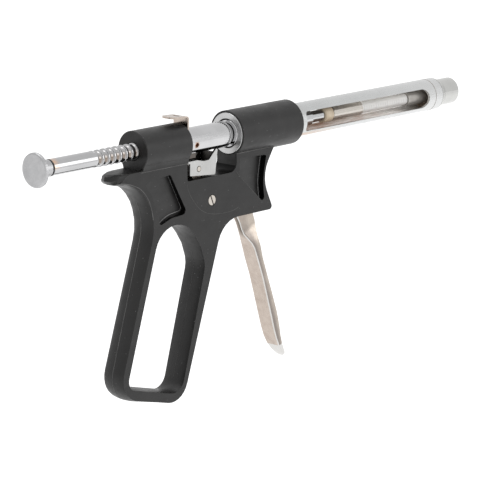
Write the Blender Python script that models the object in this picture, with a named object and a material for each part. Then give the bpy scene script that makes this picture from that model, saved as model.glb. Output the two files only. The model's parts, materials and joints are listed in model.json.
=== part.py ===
"""Automatic veterinary syringe with a pistol-grip frame, built as its separate pieces.

Sizes are in millimetres and are turned into metres where a mesh is made. Until then
every place is given in the barrel's frame: x runs along the barrel's axis towards the
needle from the frame's rear face, y to the left, z up, and the axis is y = z = 0.
The model's origin is in the saddle of the grip, where the web of the thumb lies.
"""
import math

import bmesh
import bpy

MM = 0.001

# Clearances
SEAT_GAP = 0.3
RUN_GAP = 0.35

# Origin in the grip's saddle, seen from the barrel's axis
AXIS_HEIGHT = 36.0
REAR_FACE_BACK = 8.0

# Frame
REAR_BOSS_R = 10.5
REAR_BOSS_LENGTH = 33.4
BOSS_SPACE = 36.6
FRONT_BOSS_R = 12.0
FRONT_BOSS_LENGTH = 47.8
BOSS_CHAMFER = 0.3
WEB_THICKNESS = 14.0
WEB_CREASE_Z = -9.9
WINDOW_DEPTH = 9.4
GRIP_DROP = 136.4
HORN_TO_PALM_CROWN = [1.0, 2.2]
EDGE_CROWN = 0.9
FRONT_CROWN = 0.2
POCKET_DEPTH = 3.4
TRIGGER_SLOT_WIDTH = 5.0
WELL_REACH = 41.0
WELL_DROP = 28.2

# Piston rod, its rings and the knob
ROD_R = 4.3
RING_PITCH = 4.15
RING_COUNT = 16
RING_CREST_R = 4.45
GROOVE_DEPTH = 1.1
GROOVE_FLOOR = 1.7
GROOVE_MOUTH = 3.3
KNOB_R = 8.8
KNOB_THICKNESS = 2.2
KNOB_NECK_LENGTH = 7.6
KNOB_STANDOFF = 66.0

# Carriage tube with its guide ring
TUBE_R = 6.85
TUBE_BORE_R = 4.85
TUBE_FRONT_R = 5.4
TUBE_LENGTH = 84.3
GUIDE_RING_R = 7.3
GUIDE_RING_LENGTH = 2.4
TUBE_NECK_R = 6.2
TUBE_NECK_LENGTH = 3.0
TUBE_LIP = 1.0
TUBE_FRONT_WALL = 4.0
TUBE_HOLE_R = 1.25
LUG_WIDTH = 7.6
LUG_DEPTH = 9.3
LUG_LENGTH = 8.4

# Latch plate behind the tube
LATCH_THICKNESS = 1.0
LATCH_LEG_WIDTH = 10.0
LATCH_DISC_R = 6.6
LATCH_FOOT_Z = -5.7
LATCH_TRAVEL = 1.0
TAB_HEIGHT = 14.0
TAB_RISE = 0.6
TAB_LENGTH = 11.8
TAB_CORNER_R = 4.0

# Trigger, its pivot and the pin that it drives
PIVOT_BEHIND_FRONT_BOSS = 18.8
PIVOT_Z = -31.8
PIN_BEHIND_PIVOT = 8.5
PIN_ABOVE_PIVOT = 17.5
PIN_R = 1.3
TRIGGER_TRAVEL = math.radians(28.0)
DRIVE_RATIO = 18.0
SHEET = 1.2
CHEEK_HALF_WIDTH = 2.15
HUB_R = 5.6
ARM_HALF_WIDTH = 3.4
ARM_REACH = 20.6
SLEEVE_NUT_R = 3.0
SCREW_HEAD_R = 2.65
SCREW_SHANK_R = 1.6

# Drive fork under the tube
FORK_WIDTH = 11.2
FORK_BRIDGE_LENGTH = 7.2

# Barrel sleeve, its nut and collar
SLEEVE_R = 9.0
SLEEVE_BORE_R = 7.75
SLEEVE_REACH = 123.2
SLEEVE_WINDOW_HALF = 5.35
SLEEVE_WINDOW_START = 6.0
SLEEVE_WINDOW_TO_END = 12.0
NUT_R = 10.9
NUT_LENGTH = 8.0
NUT_PROUD = 0.2
COLLAR_R = 7.5
COLLAR_TAPER = 4.2
COLLAR_LENGTH = 16.5
COLLAR_BORE_R = 5.5
COLLAR_SPIGOT = 5.0
SPRING_SEAT_LENGTH = 2.7

# Springs
RETURN_WIRE_R = 0.45
RETURN_TURNS = 9
SEAT_BEHIND_TUBE_END = 14.2
LATCH_WIRE_R = 0.18
LATCH_COIL_R = 0.7
LATCH_TURNS = 2

# Dosing syringe inside the barrel
NOSE_R = 4.3
NOSE_LENGTH = 16.2
NOSE_NECK_R = 3.2
NOSE_NECK_LENGTH = 10.1
NOSE_SPIGOT_R = 2.1
BUFFER_R = 4.3
BUFFER_LENGTH = 7.0
FERRULE_R = 4.2
FERRULE_LENGTH = 23.9
FERRULE_BACK = 6.0
FERRULE_OVERLAP = 8.0
GLASS_R = 3.3
GLASS_BORE_R = 2.5
GLASS_SHOWN = 40.0
GASKET_LENGTH = 1.4
FRONT_FERRULE_LENGTH = 19.0
NOZZLE_LENGTH = 11.0
NOZZLE_BASE_R = 2.1
NOZZLE_TIP_R = 1.85
NOZZLE_BORE_R = 0.8
INNER_ROD_R = 1.1
PISTON_R = 2.2
PISTON_LENGTH = 8.2
SEAL_R = 2.42

# Facets of a full turn
WIDE_TURN = 40
ROD_TURN = 24
SMALL_TURN = 24

# Places along the barrel's axis that several pieces share
GAP_REAR = REAR_BOSS_LENGTH
GAP_FRONT = GAP_REAR + BOSS_SPACE
BOSS_FRONT = GAP_FRONT + FRONT_BOSS_LENGTH
HALF_WEB = WEB_THICKNESS / 2
TUBE_REAR = GAP_REAR + SEAT_GAP
TUBE_END = TUBE_REAR + TUBE_LENGTH
LATCH_X = TUBE_REAR + TUBE_LIP + SEAT_GAP + LATCH_THICKNESS / 2
RING_FRONT = GAP_FRONT + GUIDE_RING_LENGTH
RETURN_LENGTH = TUBE_END - SEAT_BEHIND_TUBE_END - RING_FRONT - 2 * SEAT_GAP
PIVOT_X = GAP_FRONT - PIVOT_BEHIND_FRONT_BOSS
WINDOW_FLOOR = WEB_CREASE_Z - WINDOW_DEPTH
SLEEVE_START = GAP_FRONT + SEAT_GAP + 1.6
SLEEVE_END = BOSS_FRONT + SLEEVE_REACH
COLLAR_START = SLEEVE_END + SEAT_GAP
INNER_BORE_R = INNER_ROD_R + SEAT_GAP
ROD_END = RING_FRONT + 0.8
NOSE_START = TUBE_END + SEAT_GAP
BUFFER_START = NOSE_START + NOSE_LENGTH + NOSE_NECK_LENGTH + SEAT_GAP
FERRULE_START = BUFFER_START + BUFFER_LENGTH + SEAT_GAP
FERRULE_BORE_R = GLASS_R + 0.25
REAR_GASKET_START = FERRULE_START + FERRULE_BACK + SEAT_GAP
GLASS_START = REAR_GASKET_START + GASKET_LENGTH + SEAT_GAP
FRONT_FERRULE_START = FERRULE_START + FERRULE_LENGTH + GLASS_SHOWN
GLASS_END = FRONT_FERRULE_START + FERRULE_OVERLAP - GASKET_LENGTH - 2 * SEAT_GAP
PISTON_START = FERRULE_START + FERRULE_LENGTH + SEAT_GAP


def clear_scene():
    """Empty the scene without closing the file."""
    for obj in list(bpy.data.objects):
        bpy.data.objects.remove(obj, do_unlink=True)


clear_scene()

barrel_axis = bpy.data.objects.new("barrel_axis", None)
barrel_axis.location = (-REAR_FACE_BACK * MM, 0.0, AXIS_HEIGHT * MM)
bpy.context.scene.collection.objects.link(barrel_axis)


def make_material(name, colour, metallic, roughness):
    """A Principled material of one plain colour."""
    material = bpy.data.materials.new(name)
    material.use_nodes = True
    shader = material.node_tree.nodes["Principled BSDF"]
    shader.inputs["Base Color"].default_value = (*colour, 1.0)
    shader.inputs["Metallic"].default_value = metallic
    shader.inputs["Roughness"].default_value = roughness
    return material


BLACK_NYLON = make_material("black_nylon", (0.022, 0.022, 0.024), 0.0, 0.5)
POLISHED_CHROME = make_material("polished_chrome", (0.82, 0.83, 0.85), 1.0, 0.12)
SATIN_CHROME = make_material("satin_chrome", (0.66, 0.67, 0.68), 1.0, 0.32)
NICKEL = make_material("nickel", (0.74, 0.68, 0.60), 1.0, 0.24)
SPRING_STEEL = make_material("spring_steel", (0.55, 0.55, 0.56), 1.0, 0.3)
CLEAR_GLASS = make_material("clear_glass", (0.85, 0.87, 0.87), 0.0, 0.08)
BUFF_PLASTIC = make_material("buff_plastic", (0.80, 0.70, 0.55), 0.0, 0.45)
RED_FIBRE = make_material("red_fibre", (0.45, 0.12, 0.08), 0.0, 0.7)
SEAL_RUBBER = make_material("seal_rubber", (0.05, 0.05, 0.05), 0.0, 0.7)


# Mesh tools

def make_object(name, bm, material, origin=(0.0, 0.0, 0.0)):
    """Turn a bmesh in millimetres into an object whose origin is given in the barrel's frame."""
    bmesh.ops.translate(bm, verts=bm.verts, vec=[-value for value in origin])
    bmesh.ops.scale(bm, verts=bm.verts, vec=(MM, MM, MM))
    bmesh.ops.recalc_face_normals(bm, faces=bm.faces)
    mesh = bpy.data.meshes.new(name)
    bm.to_mesh(mesh)
    bm.free()
    mesh.materials.append(material)
    obj = bpy.data.objects.new(name, mesh)
    bpy.context.scene.collection.objects.link(obj)
    obj.parent = barrel_axis
    obj.location = [value * MM for value in origin]
    return obj


def make_tool(bm):
    """A cutter or a filler that a boolean uses up."""
    tool = make_object("tool", bm, BLACK_NYLON)
    tool.display_type = "WIRE"
    tool.hide_render = True
    return tool


def combine(target, bm, operation):
    """Apply one boolean to the target and throw the tool away."""
    tool = make_tool(bm)
    modifier = target.modifiers.new("boolean", "BOOLEAN")
    modifier.operation = operation
    modifier.solver = "EXACT"
    modifier.object = tool
    bpy.context.view_layer.update()
    depsgraph = bpy.context.evaluated_depsgraph_get()
    result = bpy.data.meshes.new_from_object(target.evaluated_get(depsgraph))
    target.modifiers.clear()
    target.data = result
    bpy.data.objects.remove(tool, do_unlink=True)


def cut(target, bm):
    combine(target, bm, "DIFFERENCE")


def join(target, bm):
    combine(target, bm, "UNION")


def skin(loops, closed_path=False):
    """A closed mesh through loops of equally many points, with a flat face at each end."""
    bm = bmesh.new()
    rings = [[bm.verts.new(point) for point in loop] for loop in loops]
    pairs = list(zip(rings, rings[1:]))
    if closed_path:
        pairs.append((rings[-1], rings[0]))
    for first, second in pairs:
        for index in range(len(first)):
            after = (index + 1) % len(first)
            bm.faces.new((first[index], first[after], second[after], second[index]))
    if not closed_path:
        bm.faces.new(rings[0])
        bm.faces.new(rings[-1])
    return bm


def turned(profile, facets, ring=False):
    """Turn (x, radius) points about the barrel's axis; a ring's profile closes on itself."""
    angles = [2 * math.pi * step / facets for step in range(facets)]
    loops = [[(x, radius * math.cos(a), radius * math.sin(a)) for a in angles] for x, radius in profile]
    return skin(loops, closed_path=ring)


def tube(x0, x1, outer, inner, facets, chamfer=0.0):
    """A plain tube, with its outer edges broken by the chamfer."""
    profile = [(x0, inner), (x0, outer - chamfer), (x0 + chamfer, outer)]
    profile += [(x1 - chamfer, outer), (x1, outer - chamfer), (x1, inner)]
    if chamfer == 0.0:
        profile = [(x0, inner), (x0, outer), (x1, outer), (x1, inner)]
    return turned(profile, facets, ring=True)


def rod(x0, x1, radius, facets, chamfer=0.0):
    """A plain cylinder along the barrel's axis."""
    if chamfer == 0.0:
        return turned([(x0, radius), (x1, radius)], facets)
    profile = [(x0, radius - chamfer), (x0 + chamfer, radius)]
    profile += [(x1 - chamfer, radius), (x1, radius - chamfer)]
    return turned(profile, facets)


def cross_pin(x, z, y0, y1, radius, facets=SMALL_TURN):
    """A cylinder across the gun, along y."""
    angles = [2 * math.pi * step / facets for step in range(facets)]
    circle = [(x + radius * math.cos(a), z + radius * math.sin(a)) for a in angles]
    return prism(circle, y0, y1)


def prism(outline, y0, y1):
    """An outline of (x, z) points drawn out along y."""
    return skin([[(x, y, z) for x, z in outline] for y in (y0, y1)])


def prism_x(outline, x0, x1):
    """An outline of (y, z) points drawn out along x."""
    return skin([[(x, y, z) for y, z in outline] for x in (x0, x1)])


def prism_z(outline, z0, z1):
    """An outline of (x, y) points drawn out along z."""
    return skin([[(x, y, z) for x, y in outline] for z in (z0, z1)])


def box(x0, x1, y0, y1, z0, z1):
    return prism([(x0, z0), (x1, z0), (x1, z1), (x0, z1)], y0, y1)


def rounded(corners, degrees_per_facet=12.0):
    """Outline points with an arc at each (x, z, radius, crown) corner; crown comes back too.

    A crown given as a list of two runs from the first to the second along the arc.
    """
    points = []
    count = len(corners)
    edges, turns = [], []
    for index, corner in enumerate(corners):
        dx, dz = (corner[i] - corners[index - 1][i] for i in (0, 1))
        length = math.hypot(dx, dz)
        edges.append((dx / length, dz / length, length))
    for index in range(count):
        first, second = edges[index], edges[(index + 1) % count]
        turns.append(math.atan2(first[0] * second[1] - first[1] * second[0],
                                first[0] * second[0] + first[1] * second[1]))
    wanted = [corner[2] * math.tan(abs(turn) / 2) for corner, turn in zip(corners, turns)]
    room = [0.998 * edge[2] / max(wanted[i] + wanted[i - 1], 1e-9) for i, edge in enumerate(edges)]
    for index, (x, z, radius, crown) in enumerate(corners):
        in_x, in_z, _ = edges[index]
        turn = turns[index]
        if radius == 0.0 or abs(turn) < 0.01:
            points.append((x, z, crown))
            continue
        tangent = wanted[index] * min(1.0, room[index], room[(index + 1) % count])
        radius = tangent / math.tan(abs(turn) / 2)
        side = math.copysign(1.0, turn)
        centre_x = x - in_x * tangent - in_z * radius * side
        centre_z = z - in_z * tangent + in_x * radius * side
        start = math.atan2(z - in_z * tangent - centre_z, x - in_x * tangent - centre_x)
        steps = max(2, round(math.degrees(abs(turn)) / degrees_per_facet))
        for step in range(steps + 1):
            angle = start + turn * step / steps
            here = crown
            if isinstance(crown, list):
                here = crown[0] + (crown[1] - crown[0]) * step / steps
            points.append((centre_x + radius * math.cos(angle), centre_z + radius * math.sin(angle), here))
    return points


def outline(corners, degrees_per_facet=12.0):
    """The same rounding for plain (x, z, radius) corners."""
    points = rounded([(*corner, 0.0) for corner in corners], degrees_per_facet)
    return [(x, z) for x, z, _ in points]


def crowned(corners, half_width, inward=False, overhang=0.0):
    """A slab across y whose edge face swells by each corner's crown at the middle."""
    points = rounded(corners)
    count = len(points)
    area = sum(points[i - 1][0] * points[i][1] - points[i][0] * points[i - 1][1] for i in range(count))
    outward = math.copysign(1.0, area) * (-1.0 if inward else 1.0)
    levels = [(-1.0, 0.0), (-0.8, 0.465), (-0.45, 0.844), (0.0, 1.0), (0.45, 0.844), (0.8, 0.465), (1.0, 0.0)]
    places = [(half_width * level, share) for level, share in levels]
    if overhang:
        places = [(-half_width - overhang, 0.0)] + places + [(half_width + overhang, 0.0)]
    loops = []
    for y, share in places:
        loop = []
        for index, (x, z, crown) in enumerate(points):
            if isinstance(crown, tuple):
                loop.append((x + crown[0] * share, y, z + crown[1] * share))
                continue
            before, after = points[index - 1], points[(index + 1) % count]
            dx, dz = after[0] - before[0], after[1] - before[1]
            length = math.hypot(dx, dz)
            push = crown * share * outward / length
            loop.append((x + dz * push, y, z - dx * push))
        loops.append(loop)
    return skin(loops)


def wire(points, radius, sides=6):
    """An unbroken round wire through the points, with flat ends."""
    loops = []
    last = len(points) - 1
    normal = None
    for index, point in enumerate(points):
        ahead, behind = points[min(index + 1, last)], points[max(index - 1, 0)]
        tangent = [a - b for a, b in zip(ahead, behind)]
        length = math.sqrt(sum(value * value for value in tangent))
        tangent = [value / length for value in tangent]
        if normal is None:
            normal = [0.0, 1.0, 0.0] if abs(tangent[1]) < 0.9 else [0.0, 0.0, 1.0]
        along = sum(n * t for n, t in zip(normal, tangent))
        normal = [n - along * t for n, t in zip(normal, tangent)]
        length = math.sqrt(sum(value * value for value in normal))
        normal = [value / length for value in normal]
        other = [tangent[1] * normal[2] - tangent[2] * normal[1],
                 tangent[2] * normal[0] - tangent[0] * normal[2],
                 tangent[0] * normal[1] - tangent[1] * normal[0]]
        loop = []
        for step in range(sides):
            angle = 2 * math.pi * step / sides
            c, s = radius * math.cos(angle), radius * math.sin(angle)
            loop.append(tuple(p + c * n + s * o for p, n, o in zip(point, normal, other)))
        loops.append(loop)
    return skin(loops)


def helix(length, turns, coil_r, wire_r, points_per_turn=9):
    """Spring centre line along +x from 0, its ends straight for a wire's diameter."""
    straight = 2 * wire_r
    count = turns * points_per_turn
    points = [(0.0, coil_r, 0.0)]
    for step in range(count + 1):
        angle = 2 * math.pi * step / points_per_turn
        x = straight + (length - 2 * straight) * step / count
        points.append((x, coil_r * math.cos(angle), coil_r * math.sin(angle)))
    points.append((length, coil_r, 0.0))
    return points


def least_self_gap(name, points, wire_r, points_per_turn=9):
    """Print the least gap between one curl's wire and the next."""
    gap = min(math.dist(a, b) for i, a in enumerate(points) for b in points[i + points_per_turn - 2:])
    print(f"{name}: least gap of the wire to itself {gap - 2 * wire_r:.2f} mm")


# Frame: one black moulding with both bosses, the web, the grip loop and the horn

def frame_outline():
    """Side view of web, horn and grip, run anticlockwise from the top rear."""
    top = -REAR_BOSS_R * 0.57
    front = GAP_FRONT
    low = -GRIP_DROP
    return [
        (2.0, top, 0.0, 0.0),
        (2.0, -9.3, 0.0, 0.0),
        (-8.6, -9.4, 0.0, (-9.2, 0.2)),
        (-10.6, -10.1, 0.0, (-9.7, -0.1)),
        (-13.4, -11.8, 0.0, (-7.0, -0.6)),
        (-15.8, -13.2, 0.0, (-2.2, -1.3)),
        (-12.5, -14.1, 0.0, (-0.9, -1.6)),
        (14.9, -21.6, 26.0, HORN_TO_PALM_CROWN),
        (-18.4, low + 12.0, 12.5, 1.0),
        (28.5, low, 12.0, FRONT_CROWN),
        (front - 10.4, -43.5, 16.0, FRONT_CROWN),
        (front + 28.6, -43.5, 1.8, 0.0),
        (front + 19.8, -24.6, 17.0, 0.0),
        (front + 30.1, top - 2.6, 0.0, 0.0),
        (front + 29.9, top, 0.0, 0.0),
    ]


def loop_hole():
    low = -GRIP_DROP
    return [
        (12.6, -40.6, 15.0, EDGE_CROWN),
        (31.5, -40.6, 15.0, EDGE_CROWN),
        (43.3, -54.5, 30.0, EDGE_CROWN),
        (45.9, -66.0, 12.0, EDGE_CROWN),
        (27.6, low + 5.3, 8.0, EDGE_CROWN),
        (-12.4, low + 15.9, 5.5, EDGE_CROWN),
    ]


REAR_POCKET = [
    (1.2, -16.0, 1.5),
    (20.0, -13.9, 1.4),
    (32.6, -35.8, 2.2),
    (20.5, -36.6, 12.0),
    (12.6, -39.2, 1.2),
    (7.0, -23.5, 6.0),
]


def front_pocket():
    return [
        (GAP_FRONT + 2.5, -12.6, 1.0),
        (GAP_FRONT + 23.2, -13.6, 1.0),
        (GAP_FRONT + 20.3, -27.0, 30.0),
        (GAP_FRONT + 22.2, -40.2, 1.6),
        (GAP_FRONT + 2.1, -21.4, 2.0),
    ]


def frame_window():
    """The window under the carriage tube, wider at its top by the space between the bosses."""
    return [
        (GAP_REAR, WEB_CREASE_Z + 5.0, 0.0),
        (GAP_REAR, WEB_CREASE_Z, 0.0),
        (GAP_REAR - 0.8, WEB_CREASE_Z, 0.0),
        (GAP_REAR - 0.8, WINDOW_FLOOR, 1.0),
        (GAP_FRONT, WINDOW_FLOOR, 5.0),
        (GAP_FRONT, WEB_CREASE_Z + 5.0, 0.0),
    ]


def trigger_well():
    """Side view of the slot in which the trigger's arms and neck swing."""
    x, z = PIVOT_X, PIVOT_Z
    return [
        (x - 10.9, WINDOW_FLOOR + 4.0),
        (x - 10.9, z + 9.8),
        (x - 7.0, z - 1.2),
        (x - 1.7, z - 7.8),
        (x + 8.8, z - 17.0),
        (x + 10.8, z - WELL_DROP),
        (x + WELL_REACH, z - WELL_DROP),
        (x + WELL_REACH, z - WELL_DROP + 20.0),
        (x + WELL_REACH - 7.7, z + 0.3),
        (x + 6.3, z + 4.8),
        (x + 5.4, WINDOW_FLOOR + 4.0),
    ]


def pocket_cutter(shape, side):
    """A recess in one flat side, shallow at its rear and deepest at its front wall."""
    points = outline(shape)
    x0 = min(x for x, _ in points)
    x1 = max(x for x, _ in points)
    outer, inner = [], []
    for x, z in points:
        depth = POCKET_DEPTH * (0.12 + 0.88 * (x - x0) / (x1 - x0))
        outer.append((x, side * (HALF_WEB + 2.0), z))
        inner.append((x, side * (HALF_WEB - depth), z))
    return skin([outer, inner])


def boss_fillet(side):
    """Concave fillet from the rear boss to the flat side of the web."""
    radius = (REAR_BOSS_R ** 2 - HALF_WEB ** 2 - WEB_CREASE_Z ** 2) / (2 * (HALF_WEB - REAR_BOSS_R))
    centre_y, centre_z = HALF_WEB + radius, WEB_CREASE_Z
    start = math.atan2(-centre_z, -centre_y)
    points = []
    for step in range(6):
        angle = start + (math.pi - start) * step / 5
        points.append((side * (centre_y + radius * math.cos(angle)), centre_z + radius * math.sin(angle)))
    points += [(side * (HALF_WEB - 2.5), WEB_CREASE_Z - 0.6), (side * (HALF_WEB - 2.5), -REAR_BOSS_R * 0.5)]
    return prism_x(points, BOSS_CHAMFER, GAP_REAR - 0.05)


def build_frame():
    frame = make_object("frame_body", crowned(frame_outline(), HALF_WEB), BLACK_NYLON)
    join(frame, rod(0.0, GAP_REAR, REAR_BOSS_R, WIDE_TURN, BOSS_CHAMFER))
    join(frame, rod(GAP_FRONT, BOSS_FRONT, FRONT_BOSS_R, WIDE_TURN, BOSS_CHAMFER))
    for side in (-1.0, 1.0):
        join(frame, boss_fillet(side))
    cut(frame, crowned(loop_hole(), HALF_WEB, inward=True, overhang=2.0))
    cut(frame, prism(outline(frame_window()), -HALF_WEB - 1.0, HALF_WEB + 1.0))
    for side in (-1.0, 1.0):
        cut(frame, pocket_cutter(REAR_POCKET, side))
        cut(frame, pocket_cutter(front_pocket(), side))
    cut(frame, prism(trigger_well(), -TRIGGER_SLOT_WIDTH / 2, TRIGGER_SLOT_WIDTH / 2))
    cut(frame, rod(-1.0, GAP_REAR + 1.0, RING_CREST_R + RUN_GAP, ROD_TURN))
    bore = SLEEVE_R + SEAT_GAP
    counterbore = NUT_R + SEAT_GAP
    seat = GAP_FRONT - NUT_PROUD + NUT_LENGTH + SEAT_GAP
    steps = [(GAP_FRONT - 1.0, counterbore), (seat, counterbore), (seat, bore), (BOSS_FRONT + 1.0, bore)]
    cut(frame, turned(steps, WIDE_TURN))
    head_seat = -HALF_WEB + 1.8
    cut(frame, cross_pin(PIVOT_X, PIVOT_Z, -HALF_WEB - 1.0, head_seat, SCREW_HEAD_R + SEAT_GAP))
    cut(frame, cross_pin(PIVOT_X, PIVOT_Z, head_seat - 0.2, HALF_WEB + 1.0, SLEEVE_NUT_R + SEAT_GAP))
    return frame


# Trigger: one folded sheet, two narrow cheeks in the frame that open into the finger lever

def channel_section(half_width, depth):
    """Folded channel, open towards +n, as (y, n) points in one order for every station."""
    w, d, t = half_width, depth, SHEET
    bend = min(1.0, 0.6 * w)
    inner_w = max(w - t, 0.18)
    inner_bend = min(0.5, 0.5 * inner_w)
    half = [(w, d), (w, bend), (w - 0.3 * bend, 0.3 * bend), (w - bend, 0.0)]
    inside = [(inner_w, d), (inner_w, t + inner_bend), (inner_w - inner_bend, t)]
    left = [(-y, n) for y, n in reversed(half)]
    inside_left = [(-y, n) for y, n in inside]
    return half + left + inside_left + list(reversed(inside))


def lever_stations():
    """(x, z, half width, depth) of the lever's rear face, from the pivot's hub to the tip."""
    w = CHEEK_HALF_WIDTH
    relative = [
        (2.2, -5.4, w, 9.4),
        (14.8, -7.8, w, 9.0),
        (21.8, -10.2, w, 9.0),
        (25.2, -13.8, w, 10.0),
        (27.2, -17.2, w, 10.4),
        (28.8, -21.0, w, 10.2),
        (30.3, -24.2, w + 0.3, 9.4),
        (32.2, -26.6, w + 1.4, 7.2),
        (34.0, -29.0, w + 2.4, 5.2),
        (35.7, -32.2, w + 3.0, 4.2),
        (38.1, -38.9, w + 3.2, 3.4),
        (41.6, -48.0, w + 3.2, 3.2),
        (45.2, -59.4, w + 3.2, 3.8),
        (48.8, -71.2, w + 3.2, 4.3),
        (51.1, -78.8, w + 3.1, 4.0),
        (53.2, -84.4, w + 3.0, 3.1),
        (55.6, -89.0, w + 2.7, 2.4),
        (58.5, -92.9, w + 2.0, 1.9),
        (61.0, -95.4, w + 0.9, 1.6),
        (62.4, -96.4, w - 0.4, 1.5),
    ]
    return [(PIVOT_X + x, PIVOT_Z + z, half, depth) for x, z, half, depth in relative]


def lever_mesh():
    stations = lever_stations()
    last = len(stations) - 1
    loops = []
    for index, (x, z, half_width, depth) in enumerate(stations):
        ahead, behind = stations[min(index + 1, last)], stations[max(index - 1, 0)]
        dx, dz = ahead[0] - behind[0], ahead[1] - behind[1]
        length = math.hypot(dx, dz)
        normal_x, normal_z = -dz / length, dx / length
        section = channel_section(half_width, depth)
        loops.append([(x + n * normal_x, y, z + n * normal_z) for y, n in section])
    return skin(loops)


def pin_path(steps=6):
    """Centres of the drive pin as the trigger's arms see it over the whole squeeze."""
    path = []
    for step in range(steps + 1):
        angle = TRIGGER_TRAVEL * step / steps
        x = -PIN_BEHIND_PIVOT + DRIVE_RATIO * angle
        z = PIN_ABOVE_PIVOT
        path.append((x * math.cos(angle) - z * math.sin(angle), x * math.sin(angle) + z * math.cos(angle)))
    return path


def cam_slot():
    """Open slot along the pin's path, with a round bottom."""
    half = PIN_R + 0.15
    path = pin_path()
    first, last = path[0], path[-1]
    dx, dz = first[0] - last[0], first[1] - last[1]
    length = math.hypot(dx, dz)
    dx, dz = dx / length, dz / length
    side = (-dz * half, dx * half)
    across = [p[0] * -dz + p[1] * dx for p in path]
    mean = sum(across) / len(across)
    low, high = min(across) - mean, max(across) - mean
    base = math.atan2(side[1], side[0])
    points = []
    for step in range(9):
        angle = base + math.pi * step / 8
        points.append((last[0] + half * math.cos(angle), last[1] + half * math.sin(angle)))
    reach = 6.0
    points.append((first[0] + reach * dx - side[0] - dz * low, first[1] + reach * dz - side[1] + dx * low))
    points.append((first[0] + reach * dx + side[0] - dz * high, first[1] + reach * dz + side[1] + dx * high))
    return [(PIVOT_X + x, PIVOT_Z + z) for x, z in points]


def arm_outline():
    """Arm from the hub to the pin, cut off square to its length by an arc about the pivot."""
    length = math.hypot(PIN_BEHIND_PIVOT, PIN_ABOVE_PIVOT)
    ux, uz = -PIN_BEHIND_PIVOT / length, PIN_ABOVE_PIVOT / length
    spread = math.asin(ARM_HALF_WIDTH / ARM_REACH)
    base = math.atan2(uz, ux)
    points = [(-uz * -ARM_HALF_WIDTH, ux * -ARM_HALF_WIDTH)]
    for step in range(7):
        angle = base - spread + 2 * spread * step / 6
        points.append((ARM_REACH * math.cos(angle), ARM_REACH * math.sin(angle)))
    points.append((-uz * ARM_HALF_WIDTH, ux * ARM_HALF_WIDTH))
    return [(PIVOT_X + x, PIVOT_Z + z) for x, z in points]


def build_trigger():
    pivot = (PIVOT_X, 0.0, PIVOT_Z)
    w = CHEEK_HALF_WIDTH
    trigger = make_object("trigger_lever", prism(arm_outline(), -w, w), NICKEL, pivot)
    join(trigger, cross_pin(PIVOT_X, PIVOT_Z, -w, w, HUB_R, 32))
    cut(trigger, cross_pin(PIVOT_X, PIVOT_Z, SHEET - w, w - SHEET, ARM_REACH + 2.0, 32))
    cut(trigger, prism(cam_slot(), -w - 1.0, w + 1.0))
    join(trigger, lever_mesh())
    cut(trigger, cross_pin(PIVOT_X, PIVOT_Z, -w - 1.0, w + 1.0, SLEEVE_NUT_R + 0.1, 32))
    return trigger


# Pivot of the trigger

def build_pivot():
    head_inner = -HALF_WEB + 1.4
    screw = make_object("pivot_screw", cross_pin(PIVOT_X, PIVOT_Z, -HALF_WEB + 0.1, head_inner, SCREW_HEAD_R),
                        NICKEL, (PIVOT_X, 0.0, PIVOT_Z))
    join(screw, cross_pin(PIVOT_X, PIVOT_Z, head_inner - 0.2, HALF_WEB - 2.2, SCREW_SHANK_R))
    cut(screw, box(PIVOT_X - 4.0, PIVOT_X + 4.0, -HALF_WEB - 1.0, -HALF_WEB + 0.7, PIVOT_Z - 0.35, PIVOT_Z + 0.35))
    sleeve_start = -HALF_WEB + 1.9
    sleeve = make_object("pivot_sleeve_nut", cross_pin(PIVOT_X, PIVOT_Z, sleeve_start, HALF_WEB - 0.1, SLEEVE_NUT_R, 32),
                         NICKEL, (PIVOT_X, 0.0, PIVOT_Z))
    cut(sleeve, cross_pin(PIVOT_X, PIVOT_Z, sleeve_start - 1.0, HALF_WEB - 1.8, SCREW_SHANK_R + SEAT_GAP))
    cut(sleeve, box(PIVOT_X - 4.0, PIVOT_X + 4.0, HALF_WEB - 0.7, HALF_WEB + 1.0, PIVOT_Z - 0.35, PIVOT_Z + 0.35))


# Barrel: outer sleeve with two windows, ring nut behind it and collar in front

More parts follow.
